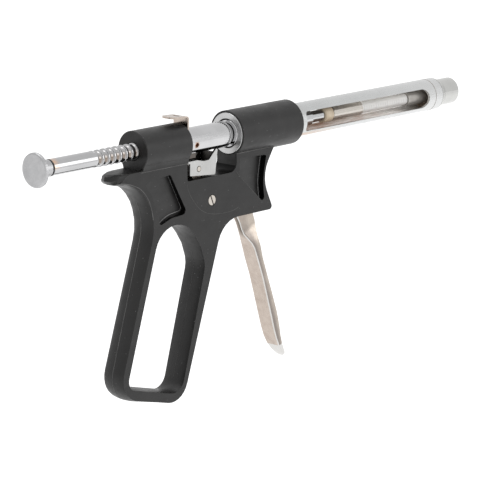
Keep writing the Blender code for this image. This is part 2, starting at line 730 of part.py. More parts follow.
def build_barrel():
    sleeve = make_object("barrel_sleeve", tube(SLEEVE_START, SLEEVE_END, SLEEVE_R, SLEEVE_BORE_R, WIDE_TURN),
                         SATIN_CHROME)
    start = BOSS_FRONT + SLEEVE_WINDOW_START
    end = SLEEVE_END - SLEEVE_WINDOW_TO_END
    half = SLEEVE_WINDOW_HALF
    shape = [(start, -half, 2.0), (end, -half, half * 0.98), (end, half, half * 0.98), (start, half, 2.0)]
    cut(sleeve, prism(outline(shape, 15.0), -SLEEVE_R - 2.0, SLEEVE_R + 2.0))
    nut_start = GAP_FRONT - NUT_PROUD
    lip_end = SLEEVE_START - SEAT_GAP
    thread_r = SLEEVE_R + SEAT_GAP
    lip_r = GUIDE_RING_R + RUN_GAP
    profile = [(nut_start, lip_r + 0.1), (nut_start, NUT_R - 0.2), (nut_start + 0.2, NUT_R)]
    profile += [(nut_start + NUT_LENGTH, NUT_R), (nut_start + NUT_LENGTH, thread_r)]
    profile += [(lip_end, thread_r), (lip_end, lip_r), (nut_start + 0.1, lip_r)]
    make_object("barrel_ring_nut", turned(profile, WIDE_TURN, ring=True), SATIN_CHROME)
    spigot_r = SLEEVE_BORE_R - SEAT_GAP
    end = COLLAR_START + COLLAR_LENGTH
    profile = [(COLLAR_START - COLLAR_SPIGOT, COLLAR_BORE_R), (COLLAR_START - COLLAR_SPIGOT, spigot_r)]
    profile += [(COLLAR_START, spigot_r), (COLLAR_START, SLEEVE_R - 0.1)]
    profile += [(COLLAR_START + 1.0, SLEEVE_R - 0.1), (COLLAR_START + COLLAR_TAPER, COLLAR_R)]
    profile += [(end - 0.6, COLLAR_R), (end, COLLAR_R - 0.6), (end, COLLAR_BORE_R)]
    make_object("barrel_collar", turned(profile, WIDE_TURN, ring=True), SATIN_CHROME)


def build_return_spring():
    """Spring seat fixed in the sleeve, and the spring that pushes the carriage back."""
    spring_start = RING_FRONT + SEAT_GAP
    seat_start = spring_start + RETURN_LENGTH + SEAT_GAP
    seat = tube(seat_start, seat_start + SPRING_SEAT_LENGTH, SLEEVE_BORE_R - SEAT_GAP, TUBE_FRONT_R + RUN_GAP, WIDE_TURN)
    make_object("spring_seat", seat, SATIN_CHROME)
    coil_r = (TUBE_FRONT_R + SLEEVE_BORE_R) / 2 - 0.1
    centre = helix(RETURN_LENGTH, RETURN_TURNS, coil_r, RETURN_WIRE_R)
    least_self_gap("return_spring", centre, RETURN_WIRE_R)
    placed = [(x + spring_start, y, z) for x, y, z in centre]
    make_object("return_spring", wire(placed, RETURN_WIRE_R), SPRING_STEEL)


# Carriage tube, latch plate and drive fork

def build_carriage_tube():
    ring_rear = RING_FRONT - GUIDE_RING_LENGTH
    neck_rear = ring_rear - TUBE_NECK_LENGTH
    groove = neck_rear - 1.6
    wall = TUBE_END - TUBE_FRONT_WALL
    hole_r = NOSE_SPIGOT_R + SEAT_GAP
    profile = [(TUBE_REAR, TUBE_BORE_R), (TUBE_REAR, TUBE_R - 0.2), (TUBE_REAR + 0.2, TUBE_R)]
    profile += [(groove, TUBE_R), (groove + 0.2, TUBE_R - 0.3), (groove + 0.4, TUBE_R)]
    profile += [(neck_rear - 0.4, TUBE_R), (neck_rear, TUBE_R - 0.4), (neck_rear, TUBE_NECK_R)]
    profile += [(ring_rear, TUBE_NECK_R), (ring_rear, GUIDE_RING_R - 0.3), (ring_rear + 0.3, GUIDE_RING_R)]
    profile += [(RING_FRONT - 0.4, GUIDE_RING_R), (RING_FRONT, GUIDE_RING_R - 0.4), (RING_FRONT, TUBE_FRONT_R)]
    profile += [(TUBE_END, TUBE_FRONT_R), (TUBE_END, hole_r), (wall, hole_r), (wall, TUBE_BORE_R)]
    carriage = make_object("carriage_tube", turned(profile, WIDE_TURN, ring=True), POLISHED_CHROME)
    half = LUG_WIDTH / 2
    lug = [(-half, -LUG_DEPTH + 0.8), (-half + 0.8, -LUG_DEPTH), (half - 0.8, -LUG_DEPTH)]
    lug += [(half, -LUG_DEPTH + 0.8), (half, -TUBE_BORE_R - 0.2), (-half, -TUBE_BORE_R - 0.2)]
    join(carriage, prism_x(lug, TUBE_REAR + 0.1, TUBE_REAR + LUG_LENGTH))
    slot_rear = LATCH_X - LATCH_THICKNESS / 2 - SEAT_GAP
    slot_front = LATCH_X + LATCH_THICKNESS / 2 + SEAT_GAP
    slot_floor = LATCH_FOOT_Z - LATCH_TRAVEL - SEAT_GAP
    cut(carriage, box(slot_rear, slot_front, -TUBE_R - 1.0, TUBE_R + 1.0, slot_floor, TUBE_R + 1.0))
    pocket_r = LATCH_COIL_R + LATCH_WIRE_R + SEAT_GAP
    angles = [2 * math.pi * step / 12 for step in range(12)]
    pocket = [(LATCH_X + pocket_r * math.cos(a), pocket_r * math.sin(a)) for a in angles]
    cut(carriage, prism_z(pocket, -LUG_DEPTH + 0.7, slot_floor + 1.0))
    hole_x = TUBE_REAR + 6.6
    hole = [(hole_x + TUBE_HOLE_R * math.cos(a), TUBE_HOLE_R * math.sin(a) - 1.5) for a in angles]
    cut(carriage, prism(hole, -TUBE_R - 1.0, -TUBE_BORE_R + 0.3))


def build_latch():
    x0 = LATCH_X - LATCH_THICKNESS / 2
    x1 = LATCH_X + LATCH_THICKNESS / 2
    half = LATCH_LEG_WIDTH / 2
    leg_join = math.sqrt(LATCH_DISC_R ** 2 - half ** 2)
    start = -math.asin(-LATCH_FOOT_Z / LATCH_DISC_R)
    stop = math.atan2(leg_join, half)
    right = []
    for step in range(9):
        angle = start + (stop - start) * step / 8
        right.append((LATCH_DISC_R * math.cos(angle), LATCH_DISC_R * math.sin(angle)))
    disc = right + [(half - 0.01, leg_join + 0.6), (-half + 0.01, leg_join + 0.6)]
    disc += [(-y, z) for y, z in reversed(right)]
    latch = make_object("latch_plate", prism_x(disc, x0, x1), NICKEL, (LATCH_X, 0.0, 0.0))
    top, t = TAB_HEIGHT, LATCH_THICKNESS
    rear = x1 - TAB_LENGTH
    bent = [(x0, leg_join, 0.0), (x1, leg_join, 0.0), (x1, top, 1.6), (rear, top + TAB_RISE, 0.4)]
    bent += [(rear, top + TAB_RISE - t, 0.4), (x0, top - t, 0.6)]
    strip = make_object("strip", prism(outline(bent, 18.0), -half, half), NICKEL)
    plan = [(rear, -half, TAB_CORNER_R), (x1 + 1.0, -half, 0.0), (x1 + 1.0, half, 0.0), (rear, half, TAB_CORNER_R)]
    plan = [(x, y * 1.001) for x, y in outline(plan, 18.0)]
    combine(strip, prism_z(plan, 0.0, top + 2.0), "INTERSECT")
    slot = [(-0.8, -2.5, 0.75), (0.8, -2.5, 0.75), (0.8, 2.5, 0.75), (-0.8, 2.5, 0.75)]
    slot = [(x + x0 - 3.6, y) for x, y in outline(slot, 30.0)]
    cut(strip, prism_z(slot, top - t - 1.0, top + 2.0))
    bm = bmesh.new()
    bm.from_mesh(strip.data)
    bmesh.ops.scale(bm, verts=bm.verts, vec=(1 / MM, 1 / MM, 1 / MM))
    bpy.data.objects.remove(strip, do_unlink=True)
    join(latch, bm)
    hole_r = RING_CREST_R + RUN_GAP
    arc = [math.pi * step / 14 for step in range(15)]
    hole = [(hole_r * math.cos(a), LATCH_TRAVEL + hole_r * math.sin(a)) for a in arc]
    hole += [(-hole_r * math.cos(a), -hole_r * math.sin(a)) for a in arc]
    cut(latch, prism_x(hole, x0 - 1.0, x1 + 1.0))
    floor = -LUG_DEPTH + 0.7
    length = LATCH_FOOT_Z - SEAT_GAP - (floor + SEAT_GAP)
    centre = helix(length, LATCH_TURNS, LATCH_COIL_R, LATCH_WIRE_R)
    least_self_gap("latch_spring", centre, LATCH_WIRE_R)
    placed = [(LATCH_X + y, z, floor + SEAT_GAP + x) for x, y, z in centre]
    make_object("latch_spring", wire(placed, LATCH_WIRE_R), SPRING_STEEL)


def build_drive_fork():
    """Folded fork: a bridge under the tube's lug, two cheeks that carry the pin and a front wall."""
    pin_x = PIVOT_X - PIN_BEHIND_PIVOT
    pin_z = PIVOT_Z + PIN_ABOVE_PIVOT
    half = FORK_WIDTH / 2
    bridge_top = -LUG_DEPTH - SEAT_GAP
    bridge_low = bridge_top - SHEET
    rear = pin_x - 6.5
    bridge_front = rear + FORK_BRIDGE_LENGTH - 1.9
    ear_reach = math.sqrt(TUBE_R ** 2 - (half - SHEET) ** 2) + SEAT_GAP
    cheek = [
        (rear, bridge_top, 0.0),
        (rear - 0.2, pin_z - 2.9, 0.6),
        (pin_x + 12.2, WINDOW_FLOOR + 0.4, 0.6),
        (pin_x + 14.1, -ear_reach - 0.35, 0.3),
        (pin_x + 12.9, -ear_reach, 0.3),
        (pin_x + 7.5, bridge_top - 1.0, 0.8),
        (pin_x + 3.6, bridge_top - 1.1, 1.0),
        (bridge_front + 0.1, bridge_top, 0.6),
    ]
    inner = half - SHEET
    fork = make_object("drive_fork", prism(outline(cheek, 20.0), -half, -inner), SATIN_CHROME)
    join(fork, prism(outline(cheek, 20.0), inner, half))
    bridge = box(rear - 1.9, bridge_front - 0.05, -half + 0.02, half - 0.02, bridge_low + 0.01, bridge_top - 0.01)
    join(fork, bridge)
    wall_low, wall_top = WINDOW_FLOOR + 0.7, -TUBE_R - SEAT_GAP - 0.15
    lean = (cheek[3][0] - cheek[2][0]) / (cheek[3][1] - cheek[2][1])
    low_x = cheek[2][0] - 0.1 + lean * (wall_low - cheek[2][1])
    top_x = cheek[2][0] - 0.1 + lean * (wall_top - cheek[2][1])
    wall = [(low_x - SHEET, wall_low), (low_x, wall_low), (top_x, wall_top), (top_x - SHEET, wall_top)]
    join(fork, prism(wall, -half + 0.02, half - 0.02))
    cut(fork, cross_pin(pin_x, pin_z, -half - 1.0, half + 1.0, PIN_R + SEAT_GAP))
    make_object("fork_pin", cross_pin(pin_x, pin_z, -half - 0.1, half + 0.1, PIN_R), NICKEL)


# Piston rod with the knob, the thin rod and the piston

def build_rod():
    knob_front = -KNOB_STANDOFF
    rod_rear = knob_front + KNOB_NECK_LENGTH
    profile = [(rod_rear, ROD_R - 0.5), (rod_rear + 0.5, ROD_R)]
    crest = RING_PITCH - GROOVE_MOUTH
    first = LATCH_X - RING_PITCH * (RING_COUNT - 1) - GROOVE_MOUTH / 2
    profile += [(first - crest, ROD_R), (first - crest + 0.15, RING_CREST_R)]
    for index in range(RING_COUNT):
        centre = LATCH_X - RING_PITCH * (RING_COUNT - 1 - index)
        profile.append((centre - GROOVE_MOUTH / 2, RING_CREST_R))
        profile.append((centre - GROOVE_FLOOR / 2, RING_CREST_R - GROOVE_DEPTH))
        profile.append((centre + GROOVE_FLOOR / 2, RING_CREST_R - GROOVE_DEPTH))
        profile.append((centre + GROOVE_MOUTH / 2, RING_CREST_R))
    last = LATCH_X + GROOVE_MOUTH / 2
    profile += [(last + crest - 0.15, RING_CREST_R), (last + crest, ROD_R)]
    profile += [(ROD_END - 0.5, ROD_R), (ROD_END, ROD_R - 0.5)]
    make_object("piston_rod", turned(profile, ROD_TURN), POLISHED_CHROME)
    face = knob_front - KNOB_THICKNESS
    profile = [(face, KNOB_R - 0.9), (face + 0.3, KNOB_R - 0.25), (face + 0.9, KNOB_R)]
    profile += [(knob_front - 0.5, KNOB_R), (knob_front, KNOB_R - 0.6), (knob_front, ROD_R + 0.5)]
    profile += [(knob_front + 0.5, ROD_R), (rod_rear - SEAT_GAP - 0.5, ROD_R)]
    profile += [(rod_rear - SEAT_GAP, ROD_R - 0.5)]
    make_object("push_knob", turned(profile, WIDE_TURN), SATIN_CHROME)
    make_object("inner_rod", rod(ROD_END + SEAT_GAP, PISTON_START - SEAT_GAP, INNER_ROD_R, 12), SPRING_STEEL)
    end = PISTON_START + PISTON_LENGTH
    core_r = PISTON_R * 0.6
    land = 1.6
    profile = [(PISTON_START, PISTON_R), (PISTON_START + land, PISTON_R)]
    profile += [(PISTON_START + land, core_r), (end - land, core_r), (end - land, PISTON_R), (end, PISTON_R)]
    make_object("piston_head", turned(profile, SMALL_TURN), SATIN_CHROME)
    seal = tube(PISTON_START + land + SEAT_GAP, end - land - SEAT_GAP, SEAL_R, core_r + SEAT_GAP, SMALL_TURN, 0.3)
    make_object("piston_seal", seal, SEAL_RUBBER)


# Dosing syringe that the carriage carries inside the barrel

def build_dosing_unit():
    spigot_start = TUBE_END - TUBE_FRONT_WALL + SEAT_GAP
    neck_start = NOSE_START + NOSE_LENGTH
    neck_end = neck_start + NOSE_NECK_LENGTH
    profile = [(spigot_start, INNER_BORE_R), (spigot_start, NOSE_SPIGOT_R), (NOSE_START, NOSE_SPIGOT_R)]
    profile += [(NOSE_START, NOSE_R), (neck_start - 0.3, NOSE_R), (neck_start, NOSE_NECK_R)]
    profile += [(neck_end, NOSE_NECK_R), (neck_end, INNER_BORE_R)]
    make_object("nose_adapter", turned(profile, SMALL_TURN, ring=True), POLISHED_CHROME)
    buffer_ring = tube(BUFFER_START, BUFFER_START + BUFFER_LENGTH, BUFFER_R, INNER_BORE_R, SMALL_TURN, 0.6)
    make_object("buffer_ring", buffer_ring, BUFF_PLASTIC)
    back_wall = FERRULE_START + FERRULE_BACK
    mouth = FERRULE_START + FERRULE_LENGTH
    profile = [(FERRULE_START, INNER_BORE_R), (FERRULE_START, FERRULE_R - 0.4), (FERRULE_START + 0.4, FERRULE_R)]
    profile += [(mouth, FERRULE_R), (mouth, FERRULE_BORE_R), (back_wall, FERRULE_BORE_R), (back_wall, INNER_BORE_R)]
    make_object("rear_ferrule", turned(profile, SMALL_TURN, ring=True), SATIN_CHROME)
    gasket = tube(REAR_GASKET_START, REAR_GASKET_START + GASKET_LENGTH, GLASS_R, INNER_BORE_R, SMALL_TURN)
    make_object("rear_gasket", gasket, RED_FIBRE)
    make_object("glass_barrel", tube(GLASS_START, GLASS_END, GLASS_R, GLASS_BORE_R, SMALL_TURN), CLEAR_GLASS)
    gasket = tube(GLASS_END + SEAT_GAP, GLASS_END + SEAT_GAP + GASKET_LENGTH, GLASS_R, NOZZLE_BORE_R, SMALL_TURN)
    make_object("front_gasket", gasket, RED_FIBRE)
    socket = FRONT_FERRULE_START + FERRULE_OVERLAP
    shoulder = FRONT_FERRULE_START + FRONT_FERRULE_LENGTH
    tip = shoulder + NOZZLE_LENGTH
    profile = [(FRONT_FERRULE_START, FERRULE_BORE_R), (FRONT_FERRULE_START, FERRULE_R)]
    profile += [(shoulder - 1.0, FERRULE_R), (shoulder, FERRULE_R - 1.0), (shoulder, NOZZLE_BASE_R)]
    profile += [(tip, NOZZLE_TIP_R), (tip, NOZZLE_BORE_R), (socket, NOZZLE_BORE_R), (socket, FERRULE_BORE_R)]
    make_object("front_ferrule", turned(profile, SMALL_TURN, ring=True), SATIN_CHROME)


def finish_shading():
    """Smooth the round faces and keep the real edges sharp."""
    for obj in bpy.data.objects:
        if obj.type == "MESH":
            obj.data.shade_smooth()
            obj.data.set_sharp_from_angle(angle=math.radians(32.0))


build_frame()
build_trigger()
build_pivot()
build_barrel()
build_return_spring()
build_carriage_tube()
build_latch()
build_drive_fork()
build_rod()
build_dosing_unit()
finish_shading()
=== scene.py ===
"""Looks of the automatic veterinary syringe: materials, printed scale, mould lines, camera and light."""
import json
import math

import bmesh
import bpy
from mathutils import Matrix, Vector


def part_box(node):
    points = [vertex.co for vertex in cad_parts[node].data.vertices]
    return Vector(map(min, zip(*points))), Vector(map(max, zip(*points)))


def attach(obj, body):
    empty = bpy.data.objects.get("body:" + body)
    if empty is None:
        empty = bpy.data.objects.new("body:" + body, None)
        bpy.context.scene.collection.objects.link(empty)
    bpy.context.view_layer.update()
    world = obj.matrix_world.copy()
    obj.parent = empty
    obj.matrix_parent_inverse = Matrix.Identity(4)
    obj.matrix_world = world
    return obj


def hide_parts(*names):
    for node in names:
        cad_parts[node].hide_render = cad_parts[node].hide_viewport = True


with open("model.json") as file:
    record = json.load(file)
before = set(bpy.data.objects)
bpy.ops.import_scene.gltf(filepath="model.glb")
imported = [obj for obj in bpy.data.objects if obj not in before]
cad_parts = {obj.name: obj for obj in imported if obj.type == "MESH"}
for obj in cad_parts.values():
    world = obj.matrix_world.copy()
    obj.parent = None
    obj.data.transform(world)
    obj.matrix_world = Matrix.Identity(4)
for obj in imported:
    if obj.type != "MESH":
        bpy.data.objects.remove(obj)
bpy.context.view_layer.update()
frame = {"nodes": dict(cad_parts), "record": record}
nodes = frame["nodes"]

MM = 0.001
AXIS_Z = 0.036
HANDS = (("right", -1.0), ("left", 1.0))

# Where the glass shows between its ferrules, and the glass's radius
GLASS_SHOWN_FROM = 0.1684
GLASS_SHOWN_TO = 0.20806
GLASS_R = 0.0033
BAND_PROUD = 0.00006

# Frame: its flat sides, the crease below the bosses and the depth of its recesses in millimetres
FLAT_SIDE_Y = 0.007
CREASE_Z = 0.0261
RECESS_DEPTH = 3.4

# Push rod: its radius, its rings and the joint in front of the knob
ROD_R = 0.0043
CREST_R = 0.00445
RING_PITCH = 0.00415
RING_COUNT = 16
GROOVE_MOUTH = 0.0033
GROOVE_DEPTH = 0.0011
GROOVE_FULLNESS = 0.8
GROOVE_STEPS = 12
LATCH_X = 0.0275
JOINT_X = -0.0664

# Guide tube's hole, pivot screw with its turn in degrees, and the collar's joint on the barrel
HOLE_X = 0.0323
SCREW_TURN = 68.0
SCREW_FACE_Y = -0.0069
SCREW_HEAD_R = 0.0026
COLLAR_X = 0.2268
SLEEVE_OUT_R = 0.0090

# Point on the lever's right fold in millimetres, and the way square to the fold, seen from the side
FOLD_X = 77.2
FOLD_DROP = 24.8
FOLD_WAY_X = 0.9458
FOLD_WAY_Z = 0.3248

# Share of the metals' written colours that they reflect, and the bevel on each softened copy
METAL_TONE = 0.62
SOFT_EDGE = {"frame_body": 0.0004, "trigger_lever": 0.0002, "drive_fork": 0.00015, "latch_plate": 0.00015}

# Stage: the world's light on the object, the floor and the two lamps
AMBIENT = 0.50
FLOOR_Z = -0.42
FLOOR_HALF = 9.0
FLOOR_GLOW = 0.82
KEY_WATTS = 7.0
TOP_WATTS = 4.5

# Camera, solved from the photo's perspective
CAMERA_LENS = 200.364
CAMERA_RIGHT = (0.67248, -0.74011, 0.00116)
CAMERA_AHEAD = (0.72259, 0.65621, -0.21738)
CAMERA_PLACE = (-0.9485, -0.927, 0.2844)


# Node helpers

def add(tree, kind, **sockets):
    """A shader node with its input sockets set to values or linked to other sockets."""
    node = tree.nodes.new(kind)
    for name, value in sockets.items():
        put(tree, node, name.replace("_", " "), value)
    return node


def put(tree, node, socket, value):
    """Set an input socket to a value, or link another socket to it."""
    target = node.inputs[socket]
    if isinstance(value, bpy.types.NodeSocket):
        tree.links.new(value, target)
    else:
        target.default_value = value


def new_material(name, base, metallic, roughness):
    """A material with its node tree and its shader."""
    material = bpy.data.materials.new(name)
    material.use_nodes = True
    tree = material.node_tree
    shader = tree.nodes["Principled BSDF"]
    shader.inputs["Base Color"].default_value = (*base, 1.0)
    shader.inputs["Metallic"].default_value = metallic
    shader.inputs["Roughness"].default_value = roughness
    return material, tree, shader


def place(tree, stretch):
    """Place on the object in millimetres, stretched for grain that runs one way."""
    coordinates = add(tree, "ShaderNodeTexCoord")
    scaled = add(tree, "ShaderNodeVectorMath")
    scaled.operation = "MULTIPLY"
    tree.links.new(coordinates.outputs["Object"], scaled.inputs[0])
    scaled.inputs[1].default_value = [1000.0 * value for value in stretch]
    return scaled.outputs[0]


def noise(tree, vector, scale, detail=3.0, rough=0.55):
    """Cloudy noise between 0 and 1."""
    node = add(tree, "ShaderNodeTexNoise", Vector=vector, Scale=scale, Detail=detail, Roughness=rough)
    return node.outputs["Fac"]


def remap(tree, value, low, high, to_low, to_high):
    """The value carried from one range to another, and level beyond both ends."""
    ranged = add(tree, "ShaderNodeMapRange")
    put(tree, ranged, "Value", value)
    for socket, number in (("From Min", low), ("From Max", high), ("To Min", to_low), ("To Max", to_high)):
        ranged.inputs[socket].default_value = number
    return ranged.outputs["Result"]


def blend_colours(tree, factor, first, second):
    """The first colour at factor 0 and the second at factor 1."""
    mix = add(tree, "ShaderNodeMix")
    mix.data_type = "RGBA"
    put(tree, mix, 0, factor)
    put(tree, mix, 6, first if isinstance(first, bpy.types.NodeSocket) else (*first, 1.0))
    put(tree, mix, 7, second if isinstance(second, bpy.types.NodeSocket) else (*second, 1.0))
    return mix.outputs[2]


def math_node(tree, operation, first, second=0.0):
    """One arithmetic step on sockets or numbers."""
    node = add(tree, "ShaderNodeMath")
    node.operation = operation
    put(tree, node, 0, first)
    put(tree, node, 1, second)
    return node.outputs[0]


def product(tree, *factors):
    """All the factors multiplied, from the first to the last."""
    result = factors[0]
    for factor in factors[1:]:
        result = math_node(tree, "MULTIPLY", result, factor)
    return result


def diagonal(tree, first, second):
    """Length that two offsets at right angles make."""
    squares = math_node(tree, "ADD", product(tree, first, first), product(tree, second, second))
    return math_node(tree, "SQRT", squares)


def rise(tree, value, start, end):
    """0 at the start, 1 at the end, a slope between them and level beyond them."""
    return remap(tree, value, start, end, 0.0, 1.0)


def fall(tree, value, start, end):
    """1 at the start, 0 at the end, a slope between them and level beyond them."""
    return remap(tree, value, start, end, 1.0, 0.0)


def split_place(tree, spot):
    """The three coordinates of a place."""
    split = add(tree, "ShaderNodeSeparateXYZ")
    tree.links.new(spot, split.inputs[0])
    return split.outputs


def bump(tree, shader, layers):
    """Stack (height, strength, distance in metres) layers on the shader's normal."""
    normal = None
    for height, strength, distance in layers:
        node = add(tree, "ShaderNodeBump", Strength=strength, Distance=distance, Height=height)
        if normal is not None:
            tree.links.new(normal, node.inputs["Normal"])
        normal = node.outputs["Normal"]
    tree.links.new(normal, shader.inputs["Normal"])


# Materials

def moulded_nylon(name, dark, light, dust_level, shine=0.3):
    """Black nylon with a fine moulded grain, faint flow clouds and a little dust."""
    material, tree, shader = new_material(name, light, 0.0, 0.48)
    spot = place(tree, (1, 1, 1))
    cloud = noise(tree, spot, 0.09, 4.0)
    colour = blend_colours(tree, rise(tree, cloud, 0.35, 0.65), dark, light)
    cells = add(tree, "ShaderNodeTexVoronoi", Vector=spot, Scale=0.42)
    chosen = rise(tree, noise(tree, spot, 0.5, 1.0), 0.50, 0.56)
    speck = product(tree, fall(tree, cells.outputs["Distance"], 0.05, 0.12), chosen)
    colour = blend_colours(tree, product(tree, speck, dust_level), colour, (0.30, 0.30, 0.30))
    tree.links.new(colour, shader.inputs["Base Color"])
    rub = noise(tree, place(tree, (0.35, 1, 1)), 0.25, 5.0)
    tree.links.new(remap(tree, rub, 0.3, 0.7, 0.33, 0.50), shader.inputs["Roughness"])
    grain = noise(tree, spot, 3.2, 2.0, 0.6)
    bump(tree, shader, [(cloud, 0.25, 0.0006), (grain, 0.22, 0.00006)])
    shader.inputs["Specular IOR Level"].default_value = shine
    return material


def toned(colour):
    """A metal's written colour, taken down to what it reflects."""
    return tuple(METAL_TONE * channel for channel in colour)


def plated(name, bright, dull, rough_low, rough_high, grain_way, grain_scale, grain=0.12,
           cloud_scale=0.12, stain_and_painted_shade=None):
    """Plated metal: cloudy tone, a fine grain that runs one way, patchy gloss, and the stains and painted
    shade that the last argument lays over it.
    """
    bright, dull = toned(bright), toned(dull)
    material, tree, shader = new_material(name, bright, 1.0, rough_low)
    spot = place(tree, (1, 1, 1))
    lines = noise(tree, place(tree, grain_way), grain_scale, 3.0, 0.65)
    cloud = noise(tree, spot, cloud_scale, 3.0)
    tone = math_node(tree, "ADD", product(tree, lines, 0.35), product(tree, cloud, 0.65))
    colour = blend_colours(tree, rise(tree, tone, 0.38, 0.62), dull, bright)
    if stain_and_painted_shade:
        colour = stain_and_painted_shade(tree, spot, colour)
    tree.links.new(colour, shader.inputs["Base Color"])
    tree.links.new(remap(tree, tone, 0.35, 0.65, rough_high, rough_low), shader.inputs["Roughness"])
    bump(tree, shader, [(lines, grain, 0.00003)])
    return material


def axis_frame(tree, spot):
    """Place along the barrel, height over its axis and distance from its axis, in millimetres."""
    x, y, z = split_place(tree, spot)
    lift = math_node(tree, "SUBTRACT", z, AXIS_Z / MM)
    return x, y, lift, diagonal(tree, y, lift)


def hole_stain(tree, spot, colour):
    """Rust tint round the hole in the guide tube's right side, and the lug below it darkened."""
    x, y, lift, reach = axis_frame(tree, spot)
    off_x = math_node(tree, "SUBTRACT", x, HOLE_X / MM)
    off_z = math_node(tree, "ADD", lift, 1.5)
    away = diagonal(tree, off_x, off_z)
    ragged = math_node(tree, "ADD", away, remap(tree, noise(tree, spot, 1.2, 3.0), 0.3, 0.7, -0.35, 0.35))
    ring = product(tree, remap(tree, ragged, 1.25, 2.0, 0.85, 0.0), fall(tree, y, -1.0, 0.0))
    colour = blend_colours(tree, ring, colour, (0.34, 0.17, 0.08))
    lug = product(tree, remap(tree, reach, 6.9, 7.1, 0.0, 0.9), fall(tree, lift, -4.5, -4.0))
    lug = product(tree, lug, fall(tree, x, 50.0, 55.0))
    return blend_colours(tree, lug, colour, (0.07, 0.055, 0.045))


def rod_stain_and_groove_shade(tree, spot, colour):
    """Tan film in front of the knob, and painted shade at the bottom of the grooves, strongest near the
    axis's height and none on the underside.
    """
    x, _, lift, reach = axis_frame(tree, spot)
    near = remap(tree, x, JOINT_X / MM + 0.6, JOINT_X / MM + 4.5, 1.0, 0.0)
    near = product(tree, near, rise(tree, lift, -1.0, 0.5))
    near = product(tree, near, remap(tree, noise(tree, spot, 0.45, 3.0), 0.35, 0.6, 0.25, 0.85))
    colour = blend_colours(tree, near, colour, (0.72, 0.46, 0.30))
    # Painted shade in the bottoms of the grooves, set by height on the rod
    low = remap(tree, reach, CREST_R / MM - 0.95, CREST_R / MM - 0.35, 0.9, 0.0)
    zone = product(tree, remap(tree, lift, 0.2, 2.4, 1.0, 0.15), rise(tree, lift, -2.6, -1.8))
    low = product(tree, low, zone)
    return blend_colours(tree, low, colour, (0.20, 0.16, 0.13))


def neck_shade(tree, spot, colour):
    """Painted shade on the back of the lever's neck, strongest beside its right fold."""
    _, y, z = split_place(tree, spot)
    high = rise(tree, z, -22.5, -18.0)
    side = remap(tree, y, -0.6, 1.6, 0.92, 0.35)
    return blend_colours(tree, product(tree, high, side), colour, (0.10, 0.085, 0.07))


def flange_shade(tree, spot, colour):
    """Painted shade: the lever's flange darkens towards its fold."""
    x, _, z = split_place(tree, spot)
    along_x = product(tree, math_node(tree, "SUBTRACT", x, FOLD_X), FOLD_WAY_X)
    along_z = product(tree, math_node(tree, "ADD", z, FOLD_DROP), FOLD_WAY_Z)
    ahead = math_node(tree, "ADD", along_x, along_z)
    low = product(tree, remap(tree, ahead, 1.3, 3.6, 0.80, 0.08), remap(tree, z, -22.0, -12.0, 1.0, 0.35))
    return blend_colours(tree, low, colour, (0.17, 0.15, 0.14))


def bore_shade(tree, spot, colour):
    """Painted shade on the ring nut's lip, where the guide ring enters."""
    _, _, _, reach = axis_frame(tree, spot)
    return blend_colours(tree, fall(tree, reach, 7.75, 7.95), colour, (0.025, 0.024, 0.022))


def sleeve_metal():
    """Satin chrome outside, brightening from rear to front and warm underneath at the rear as painted
    reflections; the bore is brown towards its rear and bottom, partly stain and partly painted shade, pale at
    its top as painted light, and darkened in its upper vault as painted shade.
    """
    material, tree, shader = new_material("sleeve_metal", (0.70, 0.72, 0.72), 1.0, 0.3)
    spot = place(tree, (1, 1, 1))
    x, _, lift, reach = axis_frame(tree, spot)
    outside = rise(tree, reach, 8.3, 8.8)
    drawn = noise(tree, place(tree, (0.03, 1, 1)), 2.2, 3.0, 0.6)
    cloud = noise(tree, spot, 0.1, 3.0)
    patch = rise(tree, cloud, 0.35, 0.65)
    # Painted reflection: the shell's tone brightens from its dim rear, the first blend, to its bright front
    worn = blend_colours(tree, patch, toned((0.80, 0.81, 0.81)), toned((0.84, 0.86, 0.86)))
    front_painted_reflection = blend_colours(tree, patch, toned((0.90, 0.91, 0.91)), toned((0.95, 0.955, 0.955)))
    shell = blend_colours(tree, rise(tree, x, 115.0, 225.0), worn, front_painted_reflection)
    # Painted warm reflection on the shell's underside at the rear
    underside_painted_reflection = product(tree, rise(tree, lift, -5.6, -6.6), remap(tree, x, 112.0, 150.0, 0.75, 0.0))
    shell = blend_colours(tree, underside_painted_reflection, shell, (0.50, 0.33, 0.22))
    # Bore: brown towards the rear and bottom, partly stain and partly painted shade; pale at the top as
    # painted light
    streak = noise(tree, place(tree, (0.2, 1, 1)), 0.5, 4.0)
    stain_and_painted_shade = math_node(tree, "ADD", rise(tree, x, 112.0, 215.0), remap(tree, streak, 0.3, 0.7, -0.3, 0.3))
    stain_and_painted_shade = math_node(tree, "MAXIMUM", stain_and_painted_shade, rise(tree, lift, -1.5, 1.5))
    bore = blend_colours(tree, stain_and_painted_shade, (0.36, 0.20, 0.13), (0.86, 0.84, 0.81))
    # Painted shade in the bore's upper vault over the window
    vault_painted_shade = product(tree, rise(tree, lift, 3.0, 5.2), fall(tree, x, 140.0, 168.0))
    vault_painted_shade = product(tree, vault_painted_shade, remap(tree, x, 118.0, 134.0, 0.25, 0.8))
    bore = blend_colours(tree, vault_painted_shade, bore, (0.07, 0.05, 0.045))
    tree.links.new(blend_colours(tree, outside, bore, shell), shader.inputs["Base Color"])
    tree.links.new(remap(tree, outside, 0.0, 1.0, 0.45, 1.0), shader.inputs["Metallic"])
    gloss = remap(tree, drawn, 0.35, 0.65, 0.22, 0.30)
    tree.links.new(gloss, shader.inputs["Roughness"])
    bump(tree, shader, [(drawn, 0.02, 0.00003)])
    return material


